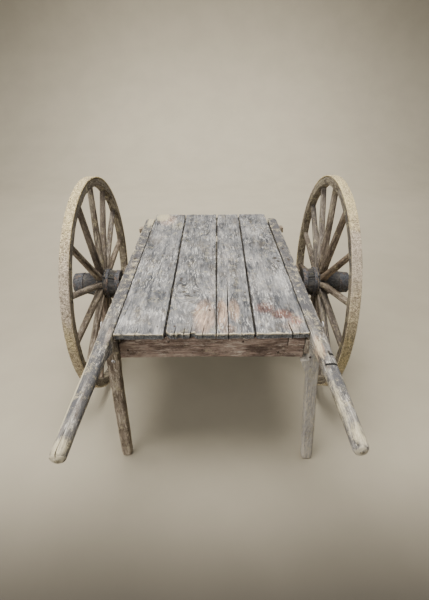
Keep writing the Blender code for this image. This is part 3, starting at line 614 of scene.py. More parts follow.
# Deck planks, in metres: x across, and y from the deck's front
deckLook = dict(
    across=0.0032, deep=0.004, step=0.0064, ridge=0.0003, wave=0.0012, pit=0.0003, ding=0.0034, edgeReach=0.005,
    paleEdges=(0.12, 1.0), topOnly=True, grimeReach=0.006, endRough=0.0028)
planks = {
    "deck_plank_1": dict(
        seed=1, left=((0, -0.3376), (1.291, -0.3376)), right=((0, -0.164), (1.291, -0.157)),
        front=((-0.3376, 0.0015), (-0.178, 0.0), (-0.164, 0.002)),
        back=((-0.3376, 0.01), (-0.332, 0.0), (-0.157, 0.001)),
        cracks=[
            dict(at=(-0.262, -0.252), span=(0.0, 0.07), wide=0.0011, deep=0.006),
            dict(at=(-0.236, -0.231), span=(0.42, 0.6), wide=0.001, deep=0.005, opens="middle"),
            dict(at=(-0.232, -0.225), span=(1.16, 1.291), wide=0.0012, deep=0.006, opens="high")],
        spots=[
            ("grime", -0.215, 0.06, 0.045, 0.06, 0.55), ("grime", -0.285, 0.045, 0.05, 0.035, 0.4),
            ("bleach", -0.212, 0.132, 0.05, 0.03, 0.6), ("bleach", -0.318, 0.095, 0.022, 0.03, 0.6),
            ("bleach", -0.288, 0.078, 0.018, 0.02, 0.5), ("bleach", -0.265, 0.52, 0.055, 0.13, 0.4),
            ("lichen", -0.292, 1.24, 0.055, 0.1, 1.1), ("tan", -0.26, 1.18, 0.08, 0.14, 0.7),
            ("lichen", -0.2, 1.09, 0.07, 0.11, 0.45), ("tan", -0.27, 0.9, 0.06, 0.1, 0.3),
            ("knot", -0.205, 0.455, 0.01, 0.035, 0.45)]),
    "deck_plank_2": dict(
        seed=2, left=((0, -0.1592), (1.291, -0.1535)),
        right=((0, 0.0155), (0.4, 0.02), (0.48, 0.0203), (1.209, 0.0302), (1.291, 0.031)),
        front=(
            (-0.1592, 0.021), (-0.149, 0.009), (-0.142, 0.001), (-0.118, 0.0), (-0.114, 0.006), (-0.104, 0.007),
            (-0.101, 0.0), (-0.075, 0.0), (-0.072, 0.01), (-0.058, 0.012), (-0.055, 0.0), (0.0143, 0.0)),
        back=((-0.1535, 0.0015), (0.031, 0.002)),
        cracks=[
            dict(at=(-0.1285, -0.124), span=(0.0, 0.05), wide=0.0018, deep=0.012),
            dict(at=(-0.096, -0.093), span=(0.0, 0.045), wide=0.0014, deep=0.01),
            dict(at=(-0.072, -0.066), span=(0.0, 0.06), wide=0.0018, deep=0.012),
            dict(at=(-0.031, -0.027), span=(0.0, 0.05), wide=0.0013, deep=0.009),
            dict(at=(-0.07, -0.063), span=(1.18, 1.291), wide=0.0012, deep=0.007, opens="high")],
        spots=[
            ("knot", -0.129, 0.412, 0.01, 0.022, 0.85), ("knot", -0.113, 0.298, 0.012, 0.01, 0.9),
            ("knot", -0.094, 0.268, 0.018, 0.009, 0.8), ("knot", -0.068, 0.293, 0.008, 0.011, 0.75),
            ("knot", -0.118, 0.345, 0.012, 0.03, 0.5), ("knot", -0.08, 0.22, 0.045, 0.045, 0.34),
            ("knot", -0.006, 0.157, 0.004, 0.009, 1.0), ("bleach", -0.1, 0.345, 0.045, 0.06, 0.3),
            ("bleach", -0.076, 0.735, 0.006, 0.028, 1.6), ("tan", -0.025, 0.12, 0.055, 0.16, 0.95),
            ("tan", -0.04, 0.04, 0.04, 0.06, 0.6), ("tan", 0.0, 0.35, 0.03, 0.2, 0.35),
            ("grime", -0.105, 0.13, 0.045, 0.09, 0.4)]),
    "deck_plank_3": dict(
        seed=3, left=((0, 0.0172), (0.4, 0.023), (0.48, 0.0253), (1.218, 0.036), (1.291, 0.041)),
        right=((0, 0.148), (1.291, 0.165)),
        front=((0.018, 0.001), (0.052, 0.0), (0.056, 0.0), (0.066, 0.0005), (0.148, 0.001)),
        back=((0.041, 0.004), (0.165, 0.005)),
        cracks=[
            dict(at=(0.0586, 0.0672), span=(0.0, 0.44), wide=0.0032, deep=0.0215, wander=0.0008),
            dict(at=(0.104, 0.108), span=(0.0, 0.05), wide=0.0012, deep=0.008),
            dict(at=(0.083, 0.088), span=(1.1, 1.291), wide=0.0012, deep=0.007, opens="high")],
        spots=[
            ("tan", 0.038, 0.125, 0.028, 0.14, 1.2), ("tan", 0.085, 0.16, 0.028, 0.11, 1.1),
            ("tan", 0.06, 0.03, 0.04, 0.05, 0.7), ("tan", 0.07, 0.55, 0.05, 0.3, 0.3),
            ("grime", 0.118, 0.08, 0.032, 0.1, 0.5), ("knot", 0.064, 0.046, 0.01, 0.014, 0.5),
            ("red", 0.1, 0.62, 0.02, 0.1, 0.3), ("grime", 0.125, 0.42, 0.03, 0.1, 0.35),
            ("bleach", 0.09, 0.72, 0.03, 0.12, 0.45)]),
    "deck_plank_4": dict(
        seed=4, left=((0, 0.153), (1.291, 0.1705)),
        right=((0, 0.3376), (0.35, 0.3372), (0.7, 0.3338), (1.0, 0.331), (1.291, 0.3295)),
        front=((0.153, 0.0), (0.27, 0.0005), (0.3376, 0.003)),
        back=((0.1705, 0.002), (0.333, 0.002), (0.3376, 0.008)),
        cracks=[
            dict(at=(0.279, 0.2735), span=(0.0, 0.075), wide=0.0044, deep=0.0215, wander=0.0006),
            dict(at=(0.303, 0.307), span=(0.0, 0.04), wide=0.0012, deep=0.007),
            dict(at=(0.292, 0.284), span=(0.8, 1.0), wide=0.001, deep=0.005, opens="middle")],
        spots=[
            ("knot", 0.301, 0.625, 0.014, 0.018, 0.9), ("knot", 0.314, 0.59, 0.011, 0.014, 0.85),
            ("bleach", 0.3, 0.42, 0.045, 0.16, 0.55), ("red", 0.2, 0.17, 0.056, 0.06, 0.75),
            ("red", 0.258, 0.125, 0.06, 0.05, 0.85), ("red", 0.305, 0.085, 0.036, 0.045, 0.75),
            ("tan", 0.28, 0.05, 0.05, 0.05, 0.6), ("bleach", 0.185, 0.045, 0.035, 0.04, 0.5),
            ("grime", 0.19, 0.33, 0.04, 0.14, 0.4), ("grime", 0.27, 0.035, 0.03, 0.025, 0.4)]),
}


deckNails = [(x, y, deckTop) for x, y in (
    (-0.311, -0.357), (-0.19, -0.352), (-0.13, -0.35), (-0.005, -0.244), (0.034, -0.356), (0.128, -0.352),
    (0.176, -0.349), (0.253, -0.296), (-0.305, -0.1), (-0.185, -0.108), (-0.128, -0.101), (-0.008, -0.105),
    (0.045, -0.098), (0.135, -0.107), (0.182, -0.104), (0.322, -0.099), (-0.3, 0.212), (-0.182, 0.208), (-0.126, 0.214),
    (0.002, 0.21), (0.052, 0.216), (0.139, 0.209), (0.188, 0.213), (0.318, 0.215), (-0.298, 0.724), (-0.18, 0.73),
    (-0.124, 0.725), (0.008, 0.729), (0.06, 0.722), (0.145, 0.731), (0.192, 0.727), (0.316, 0.724))]


def makePlank(name, plank):
    look = {**deckLook, **plank}
    nails = [nail for nail in deckNails if plank["left"][0][1] < nail[0] < plank["right"][0][1]]
    look["spots"] = plank["spots"] + [("knot", x, y - deckFront, 0.004, 0.0065, 0.55) for x, y, _ in nails]
    edges = [np.array(plank[key]).T for key in ("left", "right", "front", "back")]

    def limits(ws):
        slow = np.stack([ws, ws * 0, ws * 0], 1)
        left = np.interp(ws, *edges[0]) + 0.0006 * (roughNoise(slow, (0.05, 1, 1), plank["seed"] + 40) + 1)
        right = np.interp(ws, *edges[1]) - 0.0006 * (roughNoise(slow, (0.05, 1, 1), plank["seed"] + 41) + 1)
        radius = 0.0028 + 0.0012 * roughNoise(slow, (0.07, 1, 1), plank["seed"] + 42)
        return left, right, deckTop - plankThick, deckTop, radius

    def trim(u, v, w):  # the broken and weathered ends
        side = np.stack([u, v * 0, w * 0], 1)
        chips = [roughNoise(side, (0.011, 1, 1), plank["seed"] + more) for more in (43, 44)]
        front, back = (np.interp(u, *edge) + 0.0014 * np.clip(chip + 0.4, 0, 2) for edge, chip in zip(edges[2:], chips))
        return w + front * (1 - ease(w, 0, 0.05)) - back * ease(w, 1.241, deckLong)

    look["trim"] = trim
    ws = stations(deckLong, look["step"])
    part = timber(ws, limits, lambda u, v, w: np.stack([u, deckFront + w, v], 1), look)
    makePiece("weathered_" + name, [part], woods["deckWood"], "chassis", [name])


# Painted shade: dark strips in the gaps between the boards stand in for the shade under the deck
gapShadeLook = dict(across=0.003, deep=0.004, ridge=0, wave=0.002, pit=0.0015, ding=0, endRough=0, inset=0.3)
gapShadeRuns = (
    ("deck_plank_1", "deck_plank_2", 0.014, 1.27), ("deck_plank_2", "deck_plank_3", 0.01, 0.875),
    ("deck_plank_2", "deck_plank_3", 0.965, 1.27), ("deck_plank_3", "deck_plank_4", 0.01, 1.27))


def makeGapShade():  # dark strips between the boards as painted shade, with one hole that light falls through
    parts = []
    for i, (left, right, start, end) in enumerate(gapShadeRuns):
        lines = np.array(planks[left]["right"]).T, np.array(planks[right]["left"]).T

        def limits(ws):
            near, far = (np.interp(ws + start, *line) for line in lines)
            return near - 0.001, far + 0.001, deckTop - 0.0215, deckTop - 0.0125, 0.001

        world = lambda u, v, w, start=start: np.stack([u, deckFront + start + w, v], 1)
        parts.append(timber(stations(end - start, 0.008), limits, world, {**gapShadeLook, "seed": 50 + i}))
    makePiece("gap_painted_shade", parts, irons["gapShadeFill"], "chassis")


for name, plank in planks.items():
    makePlank(name, plank)
makeGapShade()
print("deck planks laid")


# Shafts: squared along the deck, then round handles. Rows are the share of the length, inner and outer side,
# bottom and top as shares of the section, and the corner radius as a share of the width.
shaftLong, shaftBack, handleStart, handleShare, tipInset = 1.705, 0.565, 0.783, 0.217, 0.005
shaftLook = dict(
    across=0.0036, deep=0.0042, step=0.0086, ridge=0.00025, wave=0.0009, pit=0.0003, ding=0.0018, edgeReach=0.006,
    inset=0.2, paleEdges=(0.35, 0.9))
shaftRows = np.array((
    (0.0, 0.091, 0.616, 0.127, 0.921, 0.08), (0.0035, 0.02, 0.798, 0.032, 0.984, 0.08),
    (0.0106, 0.0, 0.939, 0.0, 1.0, 0.07), (0.0217, 0.0, 1.0, 0.0, 1.0, 0.07), (0.7, 0.0, 1.0, 0.0, 1.0, 0.075),
    (0.724, 0.0, 1.0, 0.0, 1.0, 0.09), (0.742, 0.02, 1.004, 0.08, 1.0, 0.18), (0.768, 0.05, 1.02, 0.238, 1.0, 0.28),
    (0.824, 0.08, 1.04, 0.3, 1.008, 0.36), (0.8886, 0.13, 1.052, 0.315, 1.016, 0.4),
    (0.9472, 0.17, 1.042, 0.345, 1.012, 0.39), (0.989, 0.18, 1.035, 0.365, 1.008, 0.38),
    (1.0, 0.2, 1.015, 0.38, 1.0, 0.37)))
shafts = {
    "left": dict(
        seed=11, sag=0.002, short=0.0,
        cracks=[
            dict(at=(0.369, 0.37), span=(1.615, 1.703), wide=0.0016, deep=0.007, opens="high", wander=0.001)],
        spots=[
            ("red", 0.36, 0.62, 0.035, 0.42, 0.5), ("grime", 0.36, 0.5, 0.07, 0.85, 1.1),
            ("knot", 0.354, 0.682, 0.007, 0.014, 0.95), ("knot", 0.362, 0.585, 0.008, 0.016, 0.95),
            ("knot", 0.357, 0.406, 0.006, 0.012, 0.7), ("lichen", 0.355, 0.03, 0.03, 0.15, 0.9),
            # partly painted highlight: the lichen at 0.387 on the left handle's lit outer side; partly painted shade:
            # the grime at 0.349 on its inner side
            ("bleach", 0.36, 1.56, 0.012, 0.12, 0.35), ("lichen", 0.387, 1.48, 0.008, 0.26, 1.0),
            ("grime", 0.349, 1.45, 0.012, 0.22, 1.0), ("grime", 0.372, 1.32, 0.022, 0.18, 1.3),
            ("lichen", 0.368, 1.68, 0.03, 0.045, 0.8), ("grime", 0.375, 1.52, 0.012, 0.14, 1.1),
            ("tan", 0.352, 1.22, 0.014, 0.09, 0.5)]),
    "right": dict(
        seed=12, sag=0.016, short=0.027, sawAt=1.374,
        # a saw cut across the top and a small notch
        cuts=((-0.56, 0.0035, 0.0024, 0.346), (-0.515, 0.0028, 0.0035, 0.368)),
        spots=[
            # partly painted highlight: the lichen at 0.35 and 0.352 on the right handle's lit inner side
            ("tan", 0.352, 1.29, 0.016, 0.085, 1.0), ("lichen", 0.35, 1.3, 0.012, 0.07, 0.75),
            ("red", 0.365, 1.1, 0.03, 0.12, 0.4), ("knot", 0.357, 0.474, 0.007, 0.012, 0.95),
            ("knot", 0.365, 0.609, 0.008, 0.014, 0.9), ("grime", 0.36, 0.42, 0.07, 0.9, 1.8),
            ("tan", 0.36, 0.6, 0.05, 0.6, 0.4), ("grime", 0.372, 1.45, 0.022, 0.09, 1.4),
            ("lichen", 0.372, 1.66, 0.03, 0.06, 0.8), ("bleach", 0.37, 1.56, 0.016, 0.14, 0.3),
            ("lichen", 0.352, 1.55, 0.012, 0.13, 0.6), ("knot", 0.374, 1.322, 0.006, 0.01, 0.9),
            ("bleach", 0.348, 0.94, 0.012, 0.09, 0.7)]),
}


def makeShaft(side, sign):
    look = {**shaftLook, **shafts[side], "endRound": (0, 0.0105), "dome": 0.0035, "endRough": 0.0004}
    shares, *rows = shaftRows.T

    def limits(ws):
        share = ws / ws[-1]
        inner, outer, bottom, top, radius = (np.interp(share, shares, row) for row in rows)
        low = railBottom - look["sag"] * np.clip((share - handleStart) / handleShare, 0, 1) ** 1.5
        across = railIn + inner * railWide, railIn + outer * railWide
        return *across, low + bottom * railDeep, low + top * railDeep, radius * railWide

    def world(u, v, w):
        along = np.clip((w / shaftLong - handleStart) / handleShare, 0, 1)
        y = axleY + shaftBack - w * (shaftLong - tipInset) / shaftLong + look["short"] * along
        return np.stack([sign * u, y, v], 1)

    close = look["sawAt"] + 0.0015 * np.arange(-5, 6) if "sawAt" in look else np.zeros(1)
    ws = stations(shaftLong, look["step"], 0.012, 0.012, np.concatenate([shares * shaftLong, close]))
    part = timber(ws, limits, world, look)
    for y, deep, wide, start in look.get("cuts", ()):
        x, along, z = part[0].T
        near = np.exp(-(((along - y) / wide) ** 2)) * ease(z, 0.628, 0.64) * ease(x, start, start + 0.006)
        part[0][:, 2] -= deep * near
        part[3][:, 2] = np.maximum(part[3][:, 2], 0.6 * near)
    makePiece("weathered_shaft_" + side, [part], woods["shaftWood"], "chassis", ["shaft_" + side])


for side, sign in sides:
    makeShaft(side, sign)
print("shafts and handles made")


# Legs, each with a tongue let into its shaft
legLook = dict(
    across=0.0038, deep=0.0042, step=0.0055, ridge=0.0003, wave=0.001, pit=0.0003, ding=0.0018, edgeReach=0.006,
    inset=0.2, paleEdges=(0.35, 0.6), endRough=0.0006)
legRows = {  # height, middle outboard of the shaft's middle, flare inboard, width, front and back inset, corner radius
    "left": (
        (0.0, 0.0018, 0, 0.034, 0.005, 0.006, 0.011), (0.006, 0.0017, 0, 0.041, 0.002, 0.0025, 0.013),
        (0.022, 0.0013, 0, 0.0435, 0.0005, 0.001, 0.011), (0.14, -0.001, 0, 0.044, 0.0005, 0.0005, 0.0085),
        (0.45, -0.0072, 0, 0.043, 0, 0, 0.005), (0.53, -0.0088, 0.004, 0.042, 0, 0, 0.003),
        (0.5345, -0.009, 0, 0.042, 0, 0, 0.003), (0.5887, -0.01, 0, 0.042, 0, 0, 0.003)),
    "right": (
        (0.0, 0.034, 0, 0.036, 0.005, 0.006, 0.011), (0.006, 0.0336, 0, 0.043, 0.002, 0.0025, 0.013),
        (0.022, 0.0326, 0, 0.0455, 0.0005, 0.001, 0.011), (0.14, 0.025, 0, 0.0455, 0.0005, 0.0005, 0.0085),
        (0.45, 0.0049, 0, 0.0435, 0, 0, 0.005), (0.53, -0.0002, 0.026, 0.042, 0, 0, 0.003),
        (0.5345, -0.0005, 0, 0.042, 0, 0, 0.003), (0.5887, -0.004, 0, 0.042, 0, 0, 0.003)),
}


def makeLeg(side, sign):
    heights, middle, flare, wide, ahead, behind, radius = np.array(legRows[side]).T
    front, trail = (-0.396, 0.022) if side == "left" else (-0.399, 0.0)
    railMiddle = railIn + railWide / 2

    def limits(ws):  # u runs backwards so that the front face is the outer one
        pick = [np.interp(ws, heights, row) for row in (middle, flare, wide, ahead, behind, radius)]
        back = front + trail * (1 - ws / legHigh)
        low, high = back + pick[3], back + 0.04 - pick[4]
        inner, outer = railMiddle + pick[0] - pick[2] / 2 - pick[1], railMiddle + pick[0] + pick[2] / 2
        return low, high, inner, outer, pick[5]

    look = {
        **legLook, "seed": 21 if sign < 0 else 22, "endRound": (0, 0), "cracks": [],
        "marks": (0.1, 0, 0.1) if sign < 0 else (0, 0.35, 0.8), "tint": (0, 0.2, 0) if sign < 0 else (0.25, 0, 0)}
    ws = stations(legHigh, look["step"], 0.006, 0.003, heights)
    post = timber(ws, limits, lambda u, v, w: np.stack([sign * v, u, w], 1), look)
    tongueLook = {
        **legLook, "seed": 25 if sign < 0 else 26, "endRound": (0.002, 0.002), "paleEdges": (0.1, 0.1),
        "marks": (0.5, 0, 0)}
    tongue = timber(
        stations(0.057, 0.005), lambda ws: (front + 0.0003, front + 0.0397, 0.3265, 0.35, 0.002),
        lambda u, v, w: np.stack([sign * v, u, 0.563 + w], 1), tongueLook)
    makePiece("weathered_leg_" + side, [post, tongue], woods["legWood"], "chassis", ["leg_" + side])


for side, sign in sides:
    makeLeg(side, sign)
print("legs made")


# Apron, its packing piece, and the timbers under the deck
apronLook = dict(
    across=0.006, deep=0.0042, step=0.0045, ridge=0.0004, wave=0.001, pit=0.0003, ding=0.0022, seed=31, edgeReach=0.005,
    inset=0.25, paleEdges=(0.4, 0.2))
apronTop = ((0, 0.601), (0.036, 0.615), (0.096, 0.6287), (0.5915, 0.6287), (0.593, 0.5895), (0.6524, 0.589))
apronFoot = ((0, 0.5388), (0.277, 0.542), (0.6524, 0.537))


def makeApron():
    def limits(ws):
        return -0.385, -0.356, np.interp(ws, *np.array(apronFoot).T), np.interp(ws, *np.array(apronTop).T), 0.0025

    ws = stations(apronWide, apronLook["step"], 0.003, 0.003, (0.036, 0.096, 0.5915, 0.593))
    part = timber(ws, limits, lambda u, v, w: np.stack([w - apronWide / 2, u, v], 1), apronLook)
    makePiece("weathered_front_apron", [part], woods["apronWood"], "chassis", ["front_apron"])
    shimLook = {**apronLook, "seed": 32, "step": 0.004}
    part = timber(
        stations(0.0585, shimLook["step"]), lambda ws: (-0.392, -0.3589, 0.59, timberTop, 0.003),
        lambda u, v, w: np.stack([w + 0.2676, u, v], 1), shimLook)
    makePiece("weathered_apron_shim", [part], woods["apronWood"], "chassis", ["apron_shim"])


underTimbers = {  # y of the middle, width, depth, half length
    "deck_bearer_front": dict(y=-0.1035, wide=0.045, deep=0.0387, half=0.3392, seed=41),
    "deck_bearer_middle": dict(y=0.2115, wide=0.045, deep=0.0387, half=0.3392, seed=42),
    "rear_crossbar": dict(y=0.7265, wide=0.043, deep=0.0327, half=0.423, seed=43),
}


def makeUnderTimbers():
    for name, place in underTimbers.items():
        look = dict(
            across=0.006, deep=0.006, ridge=0.0004, wave=0.001, pit=0.0003, ding=0.0025, endRough=0.003,
            seed=place["seed"])
        middle, reach = place["y"], place["wide"] / 2
        edges = (middle - reach, middle + reach, timberTop - place["deep"], timberTop, 0.0035)
        part = timber(
            stations(2 * place["half"], 0.008, 0.004, 0.004), lambda ws, edges=edges: edges,
            lambda u, v, w, half=place["half"]: np.stack([w - half, u, v], 1), look)
        wood = woods["legWood" if name == "rear_crossbar" else "underWood"]
        makePiece("weathered_" + name, [part], wood, "chassis", [name])
    # the bed, grooved from below for the axle
    look = dict(across=0.008, deep=0.008, ridge=0.0004, wave=0.001, pit=0.0003, ding=0.003, seed=44, edgeReach=0.008)
    spans = ((0.207, 0.291, 0.5265, 0.5887), (0.207, 0.2327, 0.5, 0.5263), (0.2653, 0.291, 0.5, 0.5263))
    parts = [
        timber(stations(0.856, 0.01, 0.004, 0.004), lambda ws, s=s: (*s, 0.0035 if s is spans[0] else 0.002),
               lambda u, v, w: np.stack([w - 0.428, u, v], 1), {**look, "seed": 44 + i})
        for i, s in enumerate(spans)]
    makePiece("weathered_axle_bed", parts, woods["underWood"], "chassis", ["axle_bed"])


makeApron()
makeUnderTimbers()
print("apron and under-timbers made")


# Wheels
wheelLook = dict(
    felloes=7, spokes=14, felloeOut=0.5017, felloeIn=0.4652, felloeWide=0.038, tyreWide=0.039, tyreThick=0.008,
    naveRadius=0.074, naveStart=0.444, naveLength=0.234, seat=0.5365, dish=0.0115, bandThick=0.0027,
    tyreCount=900, naveCount=168, bandCount=132)
phases = {"left": 5.1, "right": 9.8}  # first spoke, degrees up from the tail
stances = {-1: (-0.47, -0.39), 1: (-0.72, 1.55)}  # how each wheel stands on its worn arm: turned and leaned, degrees
naveRows = (
    (0.0, 0.784), (0.009, 0.818), (0.111, 0.845), (0.229, 0.932), (0.301, 0.946), (0.308, 1.0), (0.469, 1.0),
    (0.484, 0.946), (0.581, 0.845), (0.769, 0.696), (0.985, 0.635), (1.0, 0.595))
bandRows = (
    ("inner", 0.011, 0.107, 0.828, 0.851), ("middle", 0.233, 0.299, 0.942, 0.951),
    ("outer", 0.778, 0.983, 0.697, 0.643))


def stand(sign, x, y, z):  # from a wheel's own place, middle at the rim, to where it stands
    turn, lean = (math.radians(angle) for angle in stances[sign])
    height = wheelRadius * math.cos(lean) + wheelLook["tyreWide"] / 2 * abs(math.sin(lean))
    out, up = x * math.cos(lean) + z * math.sin(lean), z * math.cos(lean) - x * math.sin(lean)
    across = sign * track + out * math.cos(turn) - y * math.sin(turn)
    return np.stack([across, axleY + out * math.sin(turn) + y * math.cos(turn), height + up], 1)


def onWheel(sign):
    return lambda x, radius, turn: stand(sign, sign * (x - track), radius * np.cos(turn), radius * np.sin(turn))


def wheelPiece(name, parts, material, side, node):
    makePiece(name, parts, material, "wheel_" + side, [f"wheel_{side}_{node}"])


def makeTyre(side, sign):
    half, inner, outer = wheelLook["tyreWide"] / 2, wheelRadius - wheelLook["tyreThick"], wheelRadius - 0.0002
    crown = [(track - half + 0.0022, outer - 0.0003), (track, outer), (track + half - 0.0022, outer - 0.0003)]
    profile = alongLine(crown, 0.0019)
    rim = [(0.0006, outer - 0.0012), (0, outer - 0.0032), (0, inner + 0.001), (0.001, inner)]
    profile += [(track + half - inset, r) for inset, r in rim]
    profile += alongLine([(track + half - 0.004, inner), (track - half + 0.004, inner)], 0.007)
    profile += [(track - half + inset, r) for inset, r in reversed(rim)]

    def crust(flat, x, r, turns):  # clods and scale stand proud of pits, all inside the tyre's own radius
        clods = roughNoise(flat, (0.006, 0.006, 0.0055), 71 if sign < 0 else 72, 3)
        outside = ease(r, inner + 0.003, outer - 0.001)
        wide = roughNoise(flat, (0.05, 0.05, 0.05), 73)
        return outside * (0.001 * (clods - 0.7) + 0.0005 * (wide - 0.6)) - 0.0001

    def marks(flat, x, r, turns):  # mauve grey above, yellow growth where the damp has sat
        up, blotch = np.sin(turns), roughNoise(flat, (0.07, 0.07, 0.03), 75 if sign < 0 else 76)
        level, second = (0.42, 0.0) if sign < 0 else (0.58, -0.15)
        mauve = 0.95 * np.exp(-(((up - level) / 0.26) ** 2)) + 0.5 * blotch
        growth = 0.65 * ease(up, 0.62, 0.92) + 0.45 * np.exp(-(((up - second) / 0.3) ** 2)) - 0.5 * blotch
        return np.stack([np.clip(mauve, 0, 1), np.clip(growth, 0, 1), r * 0], 1)

    part = turned(profile, wheelLook["tyreCount"], onWheel(sign), {"seed": 71, "move": crust, "marks": marks})
    wheelPiece("crusted_tyre_" + side, [part], irons["tyreCrust"], side, "tyre")


def makeFelloes(side, sign):
    joint = math.radians(phases[side]) - math.pi / wheelLook["spokes"]
    inner, outer = wheelLook["felloeIn"], wheelLook["felloeOut"]
    length = 2 * math.pi / wheelLook["felloes"] * inner - 0.0006
    for number in range(wheelLook["felloes"]):
        start = joint + number * 2 * math.pi / wheelLook["felloes"] + 0.0003 / inner
        seed = 80 + number + (10 if sign > 0 else 0)

        def limits(ws):
            share = ws / length
            fromSpoke = np.minimum(np.abs(share - 0.25), np.abs(share - 0.75))
            worn = ease(fromSpoke, 0.05, 0.12) * (1 - ease(np.abs(share - 0.5), 0.46, 0.5))
            half = wheelLook["felloeWide"] / 2
            return track - half, track + half, inner, outer, 0.0018 + 0.0045 * worn

        split = dict(
            at=(0.478 + 0.002 * (number % 3), 0.486), span=(0.03 + 0.04 * (number % 2), 0.26), wide=0.0013, deep=0.006,
            opens="middle", face="outer")
        look = dict(
            across=0.0042, deep=0.0042, ridge=0.0003, wave=0.0006, pit=0.0003, ding=0.0016, edgeReach=0.006, seed=seed,
            endRound=(0.0015, 0.0015), inset=0.1, endRough=0.0004, paleEdges=(0.4, 0.3),
            marks=(0.25 * (number % 3), 0.12 * (number % 2), 0.15 * ((number + 1) % 3)), cracks=[split])
        world = lambda u, v, w, start=start: onWheel(sign)(u, v, start + w / inner)
        part = timber(stations(length, 0.0062), limits, world, look)
        last = str(number + 1)
        wheelPiece(f"worn_felloe_{side}_{last}", [part], woods["felloeWood"], side, "felloe_" + last)


def makeSpokes(side, sign):
    start, end = 0.068, wheelLook["felloeIn"] - 0.0003
    parts = []
    for number in range(wheelLook["spokes"]):
        turn = math.radians(phases[side]) + 2 * math.pi * number / wheelLook["spokes"]

        def limits(ws):  # square at the nave, then rounded and slimmer
            share = ws / (end - start)
            wide = np.interp(share, (0, 0.05, 0.2, 0.9, 1), (0.026, 0.027, 0.0262, 0.0235, 0.023)) / 2
            deep = np.interp(share, (0, 0.05, 0.2, 0.9, 1), (0.03, 0.033, 0.0314, 0.0261, 0.0251)) / 2
            seat = wheelLook["seat"] + wheelLook["dish"] * (start + ws) / end - track
            radius = np.interp(share, (0, 0.06, 0.16, 1), (0.003, 0.004, 0.0092, 0.0085))
            return -wide, wide, seat - deep, seat + deep, radius

        def world(u, v, w, turn=turn):
            radius = start + w
            ahead, up = radius * math.cos(turn) - u * math.sin(turn), radius * math.sin(turn) + u * math.cos(turn)
            return stand(sign, sign * v, ahead, up)

        seed = 100 + number + (20 if sign > 0 else 0)
        look = dict(
            across=0.0048, deep=0.0052, ridge=0.00025, wave=0.0006, pit=0.00025, ding=0.001, edgeReach=0.005, inset=0.1,
            seed=seed, endRound=(0, 0), paleEdges=(0.25, 0.2),
            tint=(0.5 * corner(seed, 2, 6, 4), 0.22 * corner(seed, 4, 8, 5), 0),
            marks=(0.6 * corner(seed, 3, 1, 7), 0.3 * corner(seed, 5, 2, 8), 0.7 * corner(seed, 7, 3, 9) - 0.2))
        parts.append(timber(stations(end - start, 0.0095), limits, world, look))
    wheelPiece("tapered_spokes_" + side, parts, woods["spokeWood"], side, "nave_and_spokes")


def makeNave(side, sign):
    start, length, radius = wheelLook["naveStart"], wheelLook["naveLength"], wheelLook["naveRadius"]
    outer = [(start + x * length, r * radius) for x, r in naveRows]
    end = start + length
    profile = alongLine(outer, 0.0028)
    mouth = ((0.0004, 0.038), (0.0008, 0.03), (0.002, 0.0272), (0.018, 0.027), (0.018, 0.016))
    profile += alongLine([(end - inset, r) for inset, r in mouth], 0.004)
    profile += alongLine([(end - 0.0185, 0.0152), (start + 0.0005, 0.0152)], 0.02)
    profile += alongLine([(start, 0.018), (start, 0.0575)], 0.004)
    seed = 131 if sign < 0 else 132
    spots = [(0.4 + 1.37 * i, start + length * (0.15 + 0.31 * (i % 3)), 0.02 + 0.012 * (i % 4)) for i in range(9)]

    def checks(x, turns):  # long drying cracks along the nave
        deep = np.zeros(len(x))
        for at, middle, reach in spots:
            bend = 0.03 * np.sin((x - middle) * 60 + at)
            far = np.abs((turns - at - bend + np.pi) % (2 * np.pi) - np.pi)
            fade = 1 - ease(np.abs(x - middle), reach * 0.7, reach * 1.6)
            deep = np.maximum(deep, np.exp(-((far / 0.03) ** 2)) * fade)
        return deep

    def move(flat, x, r, turns):
        outside = ease(r, 0.03, 0.04)
        ridge = smoothNoise(np.stack([turns * 0.07, x, r], 1), (0.006, 0.05, 0.02), seed)
        amount = 0.0005 * (ridge - 1) + 0.0008 * (roughNoise(flat, (0.02, 0.02, 0.03), seed + 1) - 0.7)
        return outside * (amount - 0.0035 * checks(x, turns)) - 0.00005

    def wear(flat, x, r, turns):
        end = ease(np.abs(x - start - length / 2), length / 2 - 0.0015, length / 2 - 0.0003)
        edge = np.exp(-np.abs(np.abs(x - start - length * 0.382) - length * 0.075) / 0.003) * (r > 0.07)
        return np.stack([edge, end, checks(x, turns) * (r > 0.03)], 1)

    part = turned(profile, wheelLook["naveCount"], onWheel(sign), {"seed": 131, "move": move, "wear": wear})
    wheelPiece("turned_nave_" + side, [part], woods["naveWood"], side, "nave_and_spokes")
    for name, first, last, r0, r1 in bandRows:
        x0, x1 = start + first * length, start + last * length
        r0, r1 = r0 * radius + 0.0003, r1 * radius + 0.0003
        thick = wheelLook["bandThick"]
        profile = alongLine([(x0 + 0.0006, r0 + thick), (x1 - 0.0006, r1 + thick)], 0.0035)
        profile += [(x1, r1 + thick - 0.0008), (x1, r1), (x0, r0), (x0, r0 + thick - 0.0008)]

        def dents(flat, x, r, turns):
            return 0.0005 * (roughNoise(flat, (0.02, 0.02, 0.012), seed + 7) - 1) * (r > 0.04)

        part = turned(profile, wheelLook["bandCount"], onWheel(sign), {"seed": 5, "move": dents})
        wheelPiece(f"forged_band_{name}_{side}", [part], irons["bandIron"], side, "nave_band_" + name)


for side, sign in sides:
    makeTyre(side, sign)
    makeFelloes(side, sign)
    makeSpokes(side, sign)
    makeNave(side, sign)
print("wheels made")


# Iron that keeps its own solid
for name in ("axle", "axle_washer_left", "axle_washer_right", "linchpin_left", "linchpin_right"):
    for place in frame["nodes"][name].material_slots:
        place.material = irons["axleIron"]


# Nail and peg heads
headLook = dict(round=14, dent=0.25)
headRows = ((1.0, -0.6), (1.0, 0.25), (0.82, 0.8), (0.45, 1.0), (0.05, 0.95))  # radius and height as shares


